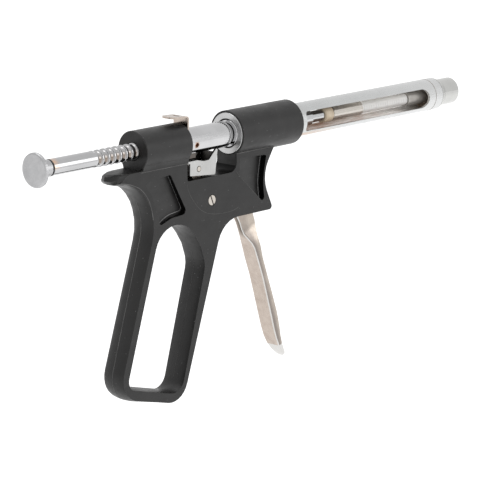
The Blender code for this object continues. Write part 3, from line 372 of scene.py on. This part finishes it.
def soft_metal(name, light, dark, mirror, rough):
    """Dull metal behind old glass: half mirror, half matt, with cloudy patches."""
    light, dark = toned(light), toned(dark)
    material, tree, shader = new_material(name, light, mirror, rough)
    cloud = noise(tree, place(tree, (1, 1, 1)), 0.30, 3.0)
    colour = blend_colours(tree, rise(tree, cloud, 0.35, 0.65), dark, light)
    tree.links.new(colour, shader.inputs["Base Color"])
    tree.links.new(remap(tree, cloud, 0.3, 0.7, rough + 0.06, rough - 0.06), shader.inputs["Roughness"])
    bump(tree, shader, [(cloud, 0.02, 0.0001)])
    return material


def clear_glass():
    """Old clear glass with slightly uneven gloss."""
    material, tree, shader = new_material("clear_glass", (0.97, 0.98, 0.98), 0.0, 0.03)
    shader.inputs["IOR"].default_value = 1.47
    spot = place(tree, (1, 1, 1))
    shader.inputs["Transmission Weight"].default_value = 1.0
    tree.links.new(remap(tree, noise(tree, spot, 0.6, 2.0), 0.3, 0.7, 0.02, 0.07), shader.inputs["Roughness"])
    bump(tree, shader, [(noise(tree, spot, 0.3, 2.0), 0.05, 0.0001)])
    return material


def scale_print():
    """White enamel on the glass with fine ticks every 2 mm, longer ones every 10 mm."""
    material, tree, shader = new_material("scale_print", (0.86, 0.85, 0.83), 0.0, 0.25)
    spot = place(tree, (1, 1, 1))
    x, _, z = split_place(tree, spot)
    along = math_node(tree, "SUBTRACT", x, GLASS_SHOWN_FROM / MM + 2.0)
    lift = math_node(tree, "SUBTRACT", z, AXIS_Z / MM)
    short_phase = math_node(tree, "PINGPONG", along, 1.0)
    long_phase = math_node(tree, "PINGPONG", along, 5.0)
    short_line = fall(tree, short_phase, 0.10, 0.20)
    long_line = fall(tree, long_phase, 0.14, 0.24)
    short_zone = product(tree, rise(tree, lift, -0.6, -0.5), fall(tree, lift, 0.9, 1.0))
    long_zone = product(tree, rise(tree, lift, -1.5, -1.4), fall(tree, lift, 1.4, 1.5))
    short_ticks = product(tree, short_line, short_zone)
    long_ticks = product(tree, long_line, long_zone)
    ticks = math_node(tree, "MAXIMUM", short_ticks, long_ticks)
    worn = remap(tree, noise(tree, spot, 1.1, 3.0), 0.3, 0.7, 0.15, 0.5)
    enamel = blend_colours(tree, noise(tree, spot, 0.2, 2.0), (0.90, 0.89, 0.87), (0.80, 0.79, 0.77))
    colour = blend_colours(tree, product(tree, ticks, worn), enamel, (0.36, 0.32, 0.31))
    tree.links.new(colour, shader.inputs["Base Color"])
    shader.inputs["Coat Weight"].default_value = 0.6
    shader.inputs["Coat Roughness"].default_value = 0.06
    return material


def plain_solid(name, light, dark, rough, scale, grain):
    """Plastic, fibre or rubber: two tones, patchy gloss and a fine grain."""
    material, tree, shader = new_material(name, light, 0.0, rough)
    spot = place(tree, (1, 1, 1))
    cloud = noise(tree, spot, scale, 4.0)
    colour = blend_colours(tree, rise(tree, cloud, 0.35, 0.65), dark, light)
    tree.links.new(colour, shader.inputs["Base Color"])
    tree.links.new(remap(tree, cloud, 0.3, 0.7, rough + 0.08, rough - 0.05), shader.inputs["Roughness"])
    bump(tree, shader, [(noise(tree, spot, 6.0 * scale, 3.0), grain, 0.00005)])
    return material


TURNED = (1, 0.02, 0.02)
DRAWN = (0.03, 1, 1)
UPRIGHT = (1, 1, 0.04)

NYLON = moulded_nylon("moulded_nylon", (0.0095, 0.0091, 0.0091), (0.0150, 0.0145, 0.0143), 0.5, 0.36)
# Lighter nylon for rubbed edges and seams: partly wear, partly painted highlight
WEAR_AND_HIGHLIGHT_NYLON = moulded_nylon("wear_and_highlight_nylon", (0.06, 0.059, 0.058), (0.17, 0.168, 0.165), 0.3, 0.5)
# Lighter nylon for fine raised lines: partly rubbing, partly painted highlight
RUB_AND_HIGHLIGHT_NYLON = moulded_nylon("rub_and_highlight_nylon", (0.035, 0.034, 0.033), (0.085, 0.083, 0.080), 0.3, 0.4)
# Light nylon that paints the glossy highlight along the recesses' feet
HIGHLIGHT_LIP_NYLON = moulded_nylon("painted_highlight_lip_nylon", (0.20, 0.20, 0.20), (0.36, 0.36, 0.36), 0.2, 0.3)
# Near-black nylon that paints the shade in the recesses and on the window's floor
PAINTED_SHADE_NYLON = moulded_nylon("painted_shade_nylon", (0.003, 0.003, 0.003), (0.006, 0.006, 0.006), 0.1, 0.1)
SLEEVE = sleeve_metal()
CHROME = plated("bright_chrome", (0.84, 0.85, 0.86), (0.78, 0.79, 0.80), 0.10, 0.18, TURNED, 5.0, 0.08)
TUBE_CHROME = plated("tube_chrome", (0.83, 0.83, 0.84), (0.76, 0.76, 0.77),
                     0.08, 0.15, TURNED, 5.0, 0.06, 0.12, hole_stain)
ROD_CHROME = plated("rod_chrome", (0.74, 0.74, 0.75), (0.66, 0.66, 0.67),
                    0.06, 0.13, DRAWN, 2.4, 0.06, 0.12, rod_stain_and_groove_shade)
NUT_SATIN = plated("nut_satin", (0.80, 0.80, 0.80), (0.74, 0.74, 0.74),
                   0.28, 0.38, TURNED, 6.0, 0.12, 0.12, bore_shade)
SATIN = plated("satin_chrome", (0.66, 0.67, 0.67), (0.56, 0.57, 0.57), 0.28, 0.40, TURNED, 6.0, 0.16)
SHEET = plated("satin_sheet", (0.74, 0.74, 0.73), (0.67, 0.67, 0.66), 0.34, 0.46, UPRIGHT, 3.0, 0.14)
NICKEL = plated("warm_nickel", (0.76, 0.66, 0.58), (0.66, 0.56, 0.49), 0.20, 0.32, UPRIGHT, 2.2, 0.10, 0.25)
# Lighter nickel: worn polish at the lever's tip and a painted highlight along its right fold
POLISH_AND_HIGHLIGHT_NICKEL = plated("polish_and_highlight_nickel", (0.88, 0.87, 0.85), (0.82, 0.80, 0.77),
                       0.08, 0.14, UPRIGHT, 2.2, 0.05, 0.25)
# Duller nickel with painted shade on the lever's flange
FLANGE_SHADE_NICKEL = plated("flange_nickel_painted_shade", (0.72, 0.64, 0.56), (0.62, 0.54, 0.47),
                       0.24, 0.36, UPRIGHT, 2.2, 0.10, 0.25, flange_shade)
# Dark nickel that paints the shade inside the pivot screw's slot
SLOT_SHADE_NICKEL = plated("slot_painted_shade_nickel", (0.20, 0.17, 0.14), (0.12, 0.10, 0.08),
                     0.26, 0.38, UPRIGHT, 2.2, 0.10, 0.25)
# Nickel with painted shade on the back of the lever's neck
NECK_SHADE_NICKEL = plated("web_nickel_painted_shade", (0.76, 0.66, 0.58), (0.66, 0.56, 0.49),
                    0.20, 0.32, UPRIGHT, 2.2, 0.10, 0.25, neck_shade)
COLLAR_CHROME = plated("collar_chrome", (0.84, 0.84, 0.82), (0.79, 0.79, 0.77), 0.12, 0.20, TURNED, 5.0, 0.05)
FERRULE_SATIN = soft_metal("ferrule_satin", (0.74, 0.71, 0.67), (0.60, 0.57, 0.53), 0.5, 0.34)
FERRULE_WARM = soft_metal("ferrule_warm", (0.93, 0.88, 0.81), (0.89, 0.84, 0.77), 0.75, 0.20)
KNOB_CHROME = plated("knob_chrome", (0.71, 0.71, 0.72), (0.63, 0.63, 0.64), 0.30, 0.44, (1, 1, 1), 0.9, 0.14)
# Dark sheet metal that paints the shade on the fork's hidden faces
PAINTED_SHADE_SHEET = plated("painted_shade_sheet", (0.10, 0.095, 0.09), (0.06, 0.055, 0.05), 0.40, 0.55, UPRIGHT, 3.0, 0.14)
WARM_CHROME = plated("warm_chrome", (0.88, 0.82, 0.75), (0.80, 0.74, 0.67), 0.14, 0.24, TURNED, 5.0, 0.06)
WIRE = plated("spring_wire", (0.62, 0.62, 0.62), (0.48, 0.47, 0.46), 0.22, 0.35, (1, 1, 1), 3.0, 0.08)
GLASS = clear_glass()
PRINT = scale_print()
BUFF = plain_solid("buff_plastic", (0.78, 0.66, 0.50), (0.68, 0.56, 0.41), 0.40, 0.4, 0.10)
FIBRE = plain_solid("red_fibre", (0.42, 0.13, 0.09), (0.30, 0.09, 0.06), 0.70, 1.5, 0.35)
BROWN_FILM = plain_solid("brown_film", (0.22, 0.17, 0.12), (0.15, 0.11, 0.08), 0.6, 1.0, 0.20)
RUBBER = plain_solid("seal_rubber", (0.045, 0.045, 0.045), (0.03, 0.03, 0.03), 0.62, 1.0, 0.20)

FINISHES = {
    "frame_body": NYLON, "trigger_lever": NICKEL, "pivot_screw": WARM_CHROME, "pivot_sleeve_nut": WARM_CHROME,
    "barrel_sleeve": SLEEVE, "barrel_ring_nut": NUT_SATIN, "barrel_collar": COLLAR_CHROME,
    "spring_seat": SATIN, "return_spring": WIRE, "carriage_tube": TUBE_CHROME, "latch_plate": NICKEL,
    "latch_spring": WIRE,
    "drive_fork": SHEET, "fork_pin": WARM_CHROME, "piston_rod": ROD_CHROME, "push_knob": KNOB_CHROME,
    "inner_rod": WIRE, "piston_head": SATIN, "piston_seal": RUBBER, "nose_adapter": CHROME,
    "buffer_ring": BUFF, "rear_ferrule": FERRULE_WARM, "rear_gasket": FIBRE, "glass_barrel": GLASS,
    "front_gasket": FIBRE, "front_ferrule": FERRULE_SATIN,
}

# Further materials of the softened copies, in the order of the slots that the rules below name: lighter edges
# of wear and painted highlight, and copies that paint shade and highlight
EDGE_WEAR_AND_PAINTED_LIGHT = {
    "frame_body": [WEAR_AND_HIGHLIGHT_NYLON, PAINTED_SHADE_NYLON],
    "trigger_lever": [NICKEL, POLISH_AND_HIGHLIGHT_NICKEL, FLANGE_SHADE_NICKEL, NECK_SHADE_NICKEL],
    "drive_fork": [PAINTED_SHADE_SHEET],
    "latch_plate": [NICKEL],
}

BODY_OF = {}
for body_name, listed in frame["record"]["behaviour"]["bodies"].items():
    for listed_node in listed:
        BODY_OF[listed_node] = body_name


def dress_nodes():
    """Give each CAD node its finish and smooth shading on its round faces."""
    for name, material in FINISHES.items():
        obj = nodes[name]
        obj.data.materials.clear()
        obj.data.materials.append(material)
        obj.data.shade_smooth()
        obj.data.set_sharp_from_angle(angle=math.radians(30.0))


# Pieces

def piece_from(name, bm, material, body):
    """A new piece of the scene that rides on a body."""
    mesh = bpy.data.meshes.new(name)
    bm.to_mesh(mesh)
    bm.free()
    mesh.materials.append(material)
    obj = bpy.data.objects.new(name, mesh)
    bpy.context.scene.collection.objects.link(obj)
    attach(obj, body)
    return obj


# Outlines of the two recesses in the frame's flat sides, in millimetres, seen from the side
REAR_RECESS = [(-8.2, 21.2), (12.6, 23.4), (26.4, -0.6), (12.5, -2.0), (3.2, -4.8), (-2.4, 12.0)]
FRONT_RECESS = [(63.6, 24.4), (86.2, 23.4), (83.2, 9.0), (85.4, -5.6), (63.0, 14.4)]


def within(polygon, x, z):
    """Whether the point lies in the polygon, seen from the side."""
    crossed = False
    for (x0, z0), (x1, z1) in zip(polygon, polygon[1:] + polygon[:1]):
        if (z0 > z) != (z1 > z) and x < x0 + (x1 - x0) * (z - z0) / (z1 - z0):
            crossed = not crossed
    return crossed


# The frame's window below the tube in millimetres, seen from the side, and where the lever's tip starts
WINDOW_X = (23.0, 62.5)
WINDOW_Z = (15.0, 24.0)
LEVER_TIP_Z = -84.0
FOLD_WIDTH = 0.95

# Material slots of the softened copies: 0 is the node's own finish, and the rest follow the list of further
# materials above. The frame's slot 2 paints shade; the lever's slot 2 paints the fold's highlight and the
# tip's worn polish, its slots 3 and 4 paint shade on flange and neck; the fork's slot 1 paints shade.
PAINTED_SHADE_SLOT = 2
POLISH_AND_HIGHLIGHT_SLOT = 2
FLANGE_SLOT = 3
NECK_SLOT = 4
SHEET_SHADE_SLOT = 1


def frame_slot(face, centre):
    """Painted shade: black where the frame's recesses and its window's floor lie in shade."""
    x, z = centre.x / MM, centre.z / MM
    if face.material_index or abs(face.normal.y) > 0.8:
        return face.material_index
    recess = abs(centre.y) > 0.0031 and (within(REAR_RECESS, x, z) or within(FRONT_RECESS, x, z))
    in_window = WINDOW_X[0] < x < WINDOW_X[1] and WINDOW_Z[0] < z < WINDOW_Z[1]
    window_floor = in_window and face.normal.z > 0.35
    return PAINTED_SHADE_SLOT if recess or window_floor else 0


# Rear face of the lever, seen from the side
LEVER_REAR = [(45.4, -1.2), (58.0, -3.6), (65.0, -6.0), (68.4, -9.6), (70.4, -13.0), (72.0, -16.8),
              (73.5, -20.0), (75.4, -22.4), (77.2, -24.8), (78.9, -28.0), (81.3, -34.7), (84.8, -43.8),
              (88.4, -55.2), (92.0, -67.0), (94.3, -74.6), (96.4, -80.2), (98.8, -84.8)]


def behind_rear_face(x, z):
    """Distance from the lever's rear face in millimetres."""
    best = 99.0
    for (x0, z0), (x1, z1) in zip(LEVER_REAR, LEVER_REAR[1:]):
        length = (x1 - x0) ** 2 + (z1 - z0) ** 2
        t = min(1.0, max(0.0, ((x - x0) * (x1 - x0) + (z - z0) * (z1 - z0)) / length))
        best = min(best, math.hypot(x - x0 - t * (x1 - x0), z - z0 - t * (z1 - z0)))
    return best


def trigger_slot(face, centre):
    """Lighter and glossier at the tip, partly worn polish and partly painted highlight, and along the right
    fold as a painted highlight line; painted shade on the flange and on the neck's back.
    """
    z = centre.z / MM
    if z < LEVER_TIP_Z:
        return POLISH_AND_HIGHLIGHT_SLOT
    turns_right = -0.80 < face.normal.y < -0.15 and face.normal.x < -0.10
    if turns_right and behind_rear_face(centre.x / MM, z) < FOLD_WIDTH:
        return POLISH_AND_HIGHLIGHT_SLOT
    if face.normal.y < -0.8:
        return FLANGE_SLOT
    if abs(face.normal.y) < 0.2 and face.normal.x < -0.4 and z < -2.0:
        return NECK_SLOT
    return 0


def fork_slot(face, centre):
    """Painted shade where the sheet faces forwards or up, on the far cheek's inner face and on the wall's
    back.
    """
    low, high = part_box("drive_fork")
    inside = face.normal.y < -0.5 and centre.y > 0.0
    between_cheeks = abs(centre.y) < high[1] - 1.5 * MM
    wall_back = between_cheeks and face.normal.x < -0.3 and centre.x > (low[0] + high[0]) / 2
    forwards_or_up = face.normal.x > 0.5 or face.normal.z > 0.5
    return SHEET_SHADE_SLOT if forwards_or_up or inside or wall_back else 0


SLOT_RULES = {"frame_body": frame_slot, "trigger_lever": trigger_slot, "drive_fork": fork_slot}


def shade(obj):
    """Smooth shading that keeps the edges sharp."""
    obj.data.shade_smooth()
    obj.data.set_sharp_from_angle(angle=math.radians(50.0))


def weigh_normals(obj):
    """Let the large faces set the shading, so that bevels stay crisp."""
    weighted = obj.modifiers.new("normals", "WEIGHTED_NORMAL")
    weighted.keep_sharp = True


def soften_edges(node, width, wear_and_painted_light_materials):
    """Stand a copy of a CAD piece in its place with its sharp edges slightly rounded; on the frame the
    rounded edges are lighter, partly as wear and partly as painted highlight, and the slot rules lay on
    painted shade and highlight.
    """
    source = nodes[node]
    bm = bmesh.new()
    bm.from_mesh(source.data)
    bmesh.ops.remove_doubles(bm, verts=bm.verts, dist=0.000002)
    bmesh.ops.dissolve_limit(bm, angle_limit=math.radians(0.4), verts=bm.verts, edges=bm.edges)
    edges = [e for e in bm.edges if e.is_manifold and e.calc_face_angle(0.0) > math.radians(38.0)]
    bmesh.ops.bevel(bm, geom=edges, offset=width, offset_type="OFFSET", segments=2, profile=0.5,
                    affect="EDGES", clamp_overlap=True, material=1)
    bm.normal_update()
    if node in SLOT_RULES:
        for face in bm.faces:
            face.material_index = SLOT_RULES[node](face, face.calc_center_median())
    obj = piece_from(node + "_finished", bm, FINISHES[node], BODY_OF[node])
    # Further slots: lighter edges of wear and painted highlight, and copies that paint shade and highlight
    for worn in wear_and_painted_light_materials:
        obj.data.materials.append(worn)
    shade(obj)
    weigh_normals(obj)
    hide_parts(node)


def turned_ring(bm, x, radius, facets):
    """A ring of vertices about the barrel's axis."""
    angles = [2 * math.pi * step / facets for step in range(facets)]
    return [bm.verts.new((x, radius * math.cos(a), AXIS_Z + radius * math.sin(a))) for a in angles]


def join_rings(bm, pairs):
    """Faces between each pair of neighbouring rings."""
    for first, second in pairs:
        for index in range(len(first)):
            after = (index + 1) % len(first)
            bm.faces.new((first[index], second[index], second[after], first[after]))


def lathe(name, profile, facets, material, body):
    """Solid turned about the barrel's axis from (x, radius) points."""
    bm = bmesh.new()
    rings = [turned_ring(bm, x, radius, facets) for x, radius in profile]
    join_rings(bm, zip(rings, rings[1:]))
    bm.faces.new(rings[0])
    bm.faces.new(list(reversed(rings[-1])))
    bmesh.ops.recalc_face_normals(bm, faces=bm.faces)
    obj = piece_from(name, bm, material, body)
    shade(obj)
    weigh_normals(obj)
    return obj


def ringed_rod():
    """Push rod with round-bottomed grooves between narrow rounded crests."""
    low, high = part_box("piston_rod")
    rear, front = low[0], high[0]
    profile = [(rear, ROD_R - 0.0005), (rear + 0.0002, ROD_R - 0.00015), (rear + 0.0005, ROD_R)]
    start = LATCH_X - RING_PITCH * (RING_COUNT - 1)
    crest = RING_PITCH - GROOVE_MOUTH
    first = start - GROOVE_MOUTH / 2 - crest
    profile += [(first, ROD_R), (first + 0.00012, CREST_R - 0.00003), (first + 0.0003, CREST_R)]
    for index in range(RING_COUNT):
        centre = start + RING_PITCH * index
        rim = GROOVE_MOUTH / 2 + 0.00012
        profile += [(centre - rim, CREST_R), (centre - rim + 0.0001, CREST_R - 0.00004)]
        for step in range(1, GROOVE_STEPS):
            angle = math.pi * step / GROOVE_STEPS
            depth = GROOVE_DEPTH * math.sin(angle) ** GROOVE_FULLNESS
            profile.append((centre - GROOVE_MOUTH / 2 * math.cos(angle), CREST_R - depth))
        profile += [(centre + rim - 0.0001, CREST_R - 0.00004), (centre + rim, CREST_R)]
    last = start + RING_PITCH * (RING_COUNT - 1) + GROOVE_MOUTH / 2 + crest
    profile += [(last - 0.0003, CREST_R), (last, ROD_R), (front - 0.0005, ROD_R), (front, ROD_R - 0.0005)]
    obj = lathe("piston_rod_finished", profile, 72, ROD_CHROME, "rod")
    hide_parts("piston_rod")


def joint_line():
    """Grime in the groove between the knob and the rod, and along the collar's joint."""
    profile = [(JOINT_X - 0.32 * MM, ROD_R - 0.0008), (JOINT_X - 0.32 * MM, ROD_R - 0.00008),
               (JOINT_X + 0.42 * MM, ROD_R + 0.00001), (JOINT_X + 0.42 * MM, ROD_R - 0.0008)]
    lathe("joint_grime", profile, 48, RUBBER, "rod")
    start, end, outer = COLLAR_X, COLLAR_X + 0.28 * MM, SLEEVE_OUT_R + 0.00002
    profile = [(start, outer - 0.0004), (start, outer), (end, outer), (end, outer - 0.0004)]
    lathe("collar_grime", profile, 96, BROWN_FILM, BODY_OF["barrel_sleeve"])


def turned_screw():
    """Pivot screw turned about its axis to where its slot stands in the photo."""
    source = nodes["pivot_screw"]
    low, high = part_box("pivot_screw")
    centre = Vector(((low[0] + high[0]) / 2, 0.0, (low[2] + high[2]) / 2))
    bm = bmesh.new()
    bm.from_mesh(source.data)
    bm.transform(source.matrix_world)
    turn = Matrix.Rotation(math.radians(SCREW_TURN), 3, "Y")
    bmesh.ops.rotate(bm, verts=bm.verts, cent=centre, matrix=turn)
    bm.normal_update()
    for face in bm.faces:
        middle = face.calc_center_median()
        radial = middle - centre
        radial.y = 0.0
        in_slot = middle.y > SCREW_FACE_Y + 0.0003 and radial.length < SCREW_HEAD_R
        # The slot's inside takes the dark nickel as painted shade
        face.material_index = 1 if in_slot else 0
    obj = piece_from("pivot_screw_finished", bm, WARM_CHROME, BODY_OF["pivot_screw"])
    obj.data.materials.append(SLOT_SHADE_NICKEL)
    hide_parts("pivot_screw")


def scale_band():
    """Printed white band round the glass between its ferrules."""
    facets = 48
    profile = [(GLASS_SHOWN_FROM, GLASS_R + BAND_PROUD * 0.2), (GLASS_SHOWN_FROM, GLASS_R + BAND_PROUD),
               (GLASS_SHOWN_TO, GLASS_R + BAND_PROUD), (GLASS_SHOWN_TO, GLASS_R + BAND_PROUD * 0.2)]
    bm = bmesh.new()
    rings = [turned_ring(bm, x, radius, facets) for x, radius in profile]
    join_rings(bm, zip(rings, rings[1:] + rings[:1]))
    bmesh.ops.recalc_face_normals(bm, faces=bm.faces)
    obj = piece_from("scale_band", bm, PRINT, "carriage")
    shade(obj)


def ridge(name, points, out, width, height, body, material):
    """A thin raised line through points that lie on a surface; out gives each point's way outwards."""
    bm = bmesh.new()
    rings = []
    for index, (point, away) in enumerate(zip(points, out)):
        ahead = points[min(index + 1, len(points) - 1)]
        behind = points[max(index - 1, 0)]
        side = (ahead - behind).normalized().cross(away).normalized()
        sunk = point - away * (0.15 * MM)
        rings.append([bm.verts.new(p) for p in (
            sunk - side * width, point - side * width + away * height * 0.3, point + away * height,
            point + side * width + away * height * 0.3, sunk + side * width)])
    join_rings(bm, zip(rings, rings[1:]))
    bm.faces.new(rings[0])
    bm.faces.new(list(reversed(rings[-1])))
    bmesh.ops.recalc_face_normals(bm, faces=bm.faces)
    return piece_from(name, bm, material, body)


def smooth_through(points, steps):
    """Catmull-Rom curve through the points."""
    padded = [points[0] * 2 - points[1]] + points + [points[-1] * 2 - points[-2]]
    curve = []
    for index in range(len(points) - 1):
        a, b, c, d = padded[index:index + 4]
        for step in range(steps):
            t = step / steps
            bend = (2 * a - 5 * b + 4 * c - d) * t * t
            twist = (3 * b - a - 3 * c + d) * t ** 3
            curve.append(0.5 * (2 * b + (c - a) * t + bend + twist))
    return curve + [points[-1]]


def frame_line(name, points, out, width, height, material):
    """A ridge on the frame."""
    ridge(name, points, out, width, height, "frame", material)


def flat_side_line(name, route, side, steps, width, height, material):
    """A ridge along a route, in millimetres, on one flat side of the frame."""
    curve = smooth_through([Vector((x * MM, side * FLAT_SIDE_Y, z * MM)) for x, z in route], steps)
    out = [Vector((0.0, side, 0.0))] * len(curve)
    frame_line(name, curve, out, width, height, material)


def insert_lines():
    """Faint curved line that the mould's insert leaves on both flat sides, in lighter nylon, partly as
    rubbing and partly as painted highlight.
    """
    route = [(24.4, 15.6), (25.2, 11.9), (28.3, 6.9), (33.0, 1.7), (38.7, -1.8), (46.0, -3.5), (53.2, -3.9),
             (59.1, -3.6), (63.5, -2.5)]
    for hand, side in HANDS:
        flat_side_line(f"insert_line_{hand}", route, side, 6, 0.09 * MM, 0.04 * MM, RUB_AND_HIGHLIGHT_NYLON)


def recess_lines():
    """Fine lip where the front recess runs out on the flat side, in lighter nylon, partly as rubbing and
    partly as painted highlight.
    """
    route = [(61.6, 16.8), (64.6, 13.6), (70.0, 8.6), (77.0, 2.0), (82.6, -3.2)]
    for hand, side in HANDS:
        flat_side_line(f"recess_front_{hand}", route, side, 6, 0.09 * MM, 0.04 * MM, RUB_AND_HIGHLIGHT_NYLON)


def recess_feet():
    """Fine lip along the foot of each recess's front wall, in a light nylon that paints the glossy highlight
    along the foot.
    """
    routes = {"rear": [(5.4, -1.9), (9.0, -0.3), (12.8, 0.8), (18.0, 1.3), (21.4, 1.6), (22.7, 2.8),
                       (22.0, 4.8), (17.2, 13.2), (12.6, 21.0)],
              "front": [(84.0, 21.8), (82.6, 15.6), (81.5, 9.0), (82.0, 2.8), (83.1, -2.6)]}
    spans = {"rear": (-6.8, 24.6), "front": (64.1, 85.2)}
    for place_name, route in routes.items():
        start, end = spans[place_name]
        for hand, side in HANDS:
            points = []
            for x, z in route:
                depth = RECESS_DEPTH * (0.12 + 0.88 * (x - start) / (end - start))
                points.append(Vector((x * MM, side * (FLAT_SIDE_Y - depth * MM), z * MM)))
            curve = smooth_through(points, 6)
            out = [Vector((-0.09, side, 0.0)).normalized()] * len(curve)
            frame_line(f"recess_foot_{place_name}_{hand}", curve, out, 0.15 * MM, 0.08 * MM, HIGHLIGHT_LIP_NYLON)


def saddle_lines():
    """Rubbed edge between each flat side and the palm saddle, lighter partly as wear and partly as painted
    highlight.
    """
    route = [(-23.5, 22.6), (-19.7, 21.9), (-15.8, 20.7), (-12.6, 19.4), (-10.1, 18.1), (-7.6, 16.0),
             (-5.4, 13.5), (-3.8, 11.1), (-2.7, 8.7), (-1.8, 6.0), (-1.1, 3.3), (-0.6, 0.7)]
    for hand, side in HANDS:
        flat_side_line(f"saddle_line_{hand}", route, side, 4, 0.15 * MM, 0.06 * MM, WEAR_AND_HIGHLIGHT_NYLON)


def crease_lines():
    """Fine lip along the crease between each flat side and the bosses above it, in lighter nylon as a painted
    highlight.
    """
    steps = 12
    for span, start, end in (("rear", -9.4, 25.4), ("front", 62.0, 91.0)):
        along = [(start + (end - start) * step / steps) * MM for step in range(steps + 1)]
        for hand, side in HANDS:
            points = [Vector((x, side * FLAT_SIDE_Y, CREASE_Z)) for x in along]
            away = [Vector((0.0, side, 0.35)).normalized()] * len(points)
            frame_line(f"crease_{span}_{hand}", points, away, 0.16 * MM, 0.12 * MM, WEAR_AND_HIGHLIGHT_NYLON)


def parting_line():
    """Moulding seam down the middle of the grip's back and of the loop, found on the frame's own surface, in
    lighter nylon, partly as wear and partly as painted highlight.
    """
    source = nodes["frame_body"]
    forwards = Vector((1.0, 0.0, 0.0))
    through_grip = Vector((0.017, 0.0, 0.0))
    points, out, loop_points, loop_out = [], [], [], []
    for step in range(84):
        z = (10.0 - step * 1.3) * MM
        hit, place_hit, normal, _ = source.ray_cast(Vector((-0.09, 0.0001, z)), forwards)
        if hit and normal.x < -0.4:
            points.append(place_hit.copy())
            out.append(normal.copy())
            if -0.088 < z < -0.022:
                hit, loop_place, loop_normal, _ = source.ray_cast(place_hit + through_grip, forwards)
                if hit and loop_normal.x < -0.4:
                    loop_points.append(loop_place.copy())
                    loop_out.append(loop_normal.copy())
    frame_line("parting_line", points, out, 0.15 * MM, 0.09 * MM, WEAR_AND_HIGHLIGHT_NYLON)
    frame_line("loop_parting_line", loop_points, loop_out, 0.10 * MM, 0.06 * MM, RUB_AND_HIGHLIGHT_NYLON)


# Stage

def area_light(name, place_at, target, size, watts):
    """Soft box that faces its target."""
    light = bpy.data.lights.new(name, "AREA")
    light.shape = "RECTANGLE"
    light.size, light.size_y = size
    light.energy = watts
    obj = bpy.data.objects.new(name, light)
    obj.location = place_at
    obj.rotation_euler = (Vector(target) - Vector(place_at)).to_track_quat("-Z", "Y").to_euler()
    bpy.context.scene.collection.objects.link(obj)


def backdrop_rays(tree):
    """1 for rays that show the white backdrop: to the camera, in metal and through glass."""
    path = add(tree, "ShaderNodeLightPath")
    seen = math_node(tree, "MAXIMUM", path.outputs["Is Camera Ray"], path.outputs["Is Transmission Ray"])
    return math_node(tree, "MAXIMUM", seen, path.outputs["Is Glossy Ray"])


def build_world():
    """Plain white backdrop, which lights the object at a softer, even level."""
    world = bpy.data.worlds.new("studio")
    bpy.context.scene.world = world
    world.use_nodes = True
    tree = world.node_tree
    background = tree.nodes["Background"]
    strength = remap(tree, backdrop_rays(tree), 0.0, 1.0, AMBIENT, 1.0)
    tree.links.new(strength, background.inputs["Strength"])
    background.inputs["Color"].default_value = (1.0, 1.0, 1.0, 1.0)


def build_floor():
    """Plain pale floor well below the object; it shows white and keeps a shadow."""
    bm = bmesh.new()
    corners = [(-1, -1), (1, -1), (1, 1), (-1, 1)]
    bm.faces.new([bm.verts.new((x * FLOOR_HALF, y * FLOOR_HALF, FLOOR_Z)) for x, y in corners])
    mesh = bpy.data.meshes.new("floor")
    bm.to_mesh(mesh)
    bm.free()
    material, tree, shader = new_material("pale_floor", (0.82, 0.82, 0.82), 0.0, 0.9)
    shader.inputs["Specular IOR Level"].default_value = 0.0
    shader.inputs["Emission Color"].default_value = (1.0, 1.0, 1.0, 1.0)
    glow = product(tree, backdrop_rays(tree), FLOOR_GLOW)
    tree.links.new(glow, shader.inputs["Emission Strength"])
    mesh.materials.append(material)
    obj = bpy.data.objects.new("floor", mesh)
    bpy.context.scene.collection.objects.link(obj)


def add_camera():
    """Camera where the photo's perspective puts it."""
    right = Vector(CAMERA_RIGHT).normalized()
    ahead = Vector(CAMERA_AHEAD)
    ahead = (ahead - right * ahead.dot(right)).normalized()
    up = right.cross(ahead)
    camera = bpy.data.cameras.new("camera")
    camera.lens = CAMERA_LENS
    camera.sensor_width = 36.0
    camera.clip_end = 50.0
    obj = bpy.data.objects.new("camera", camera)
    turn = Matrix((right, up, -ahead)).transposed().to_4x4()
    turn.translation = Vector(CAMERA_PLACE)
    obj.matrix_world = turn
    bpy.context.scene.collection.objects.link(obj)
    bpy.context.scene.camera = obj


dress_nodes()
parting_line()
for soft_node, soft_width in SOFT_EDGE.items():
    soften_edges(soft_node, soft_width, EDGE_WEAR_AND_PAINTED_LIGHT[soft_node])
ringed_rod()
scale_band()
insert_lines()
recess_lines()
recess_feet()
saddle_lines()
crease_lines()
joint_line()
turned_screw()

build_world()
build_floor()
area_light("key", (0.50, -1.4, 0.42), (0.07, 0.0, -0.02), (1.5, 0.9), KEY_WATTS)
area_light("top", (-0.1, 0.35, 1.3), (0.07, 0.0, 0.0), (1.2, 0.8), TOP_WATTS)
add_camera()

settings = bpy.context.scene.view_settings
settings.view_transform = "Standard"
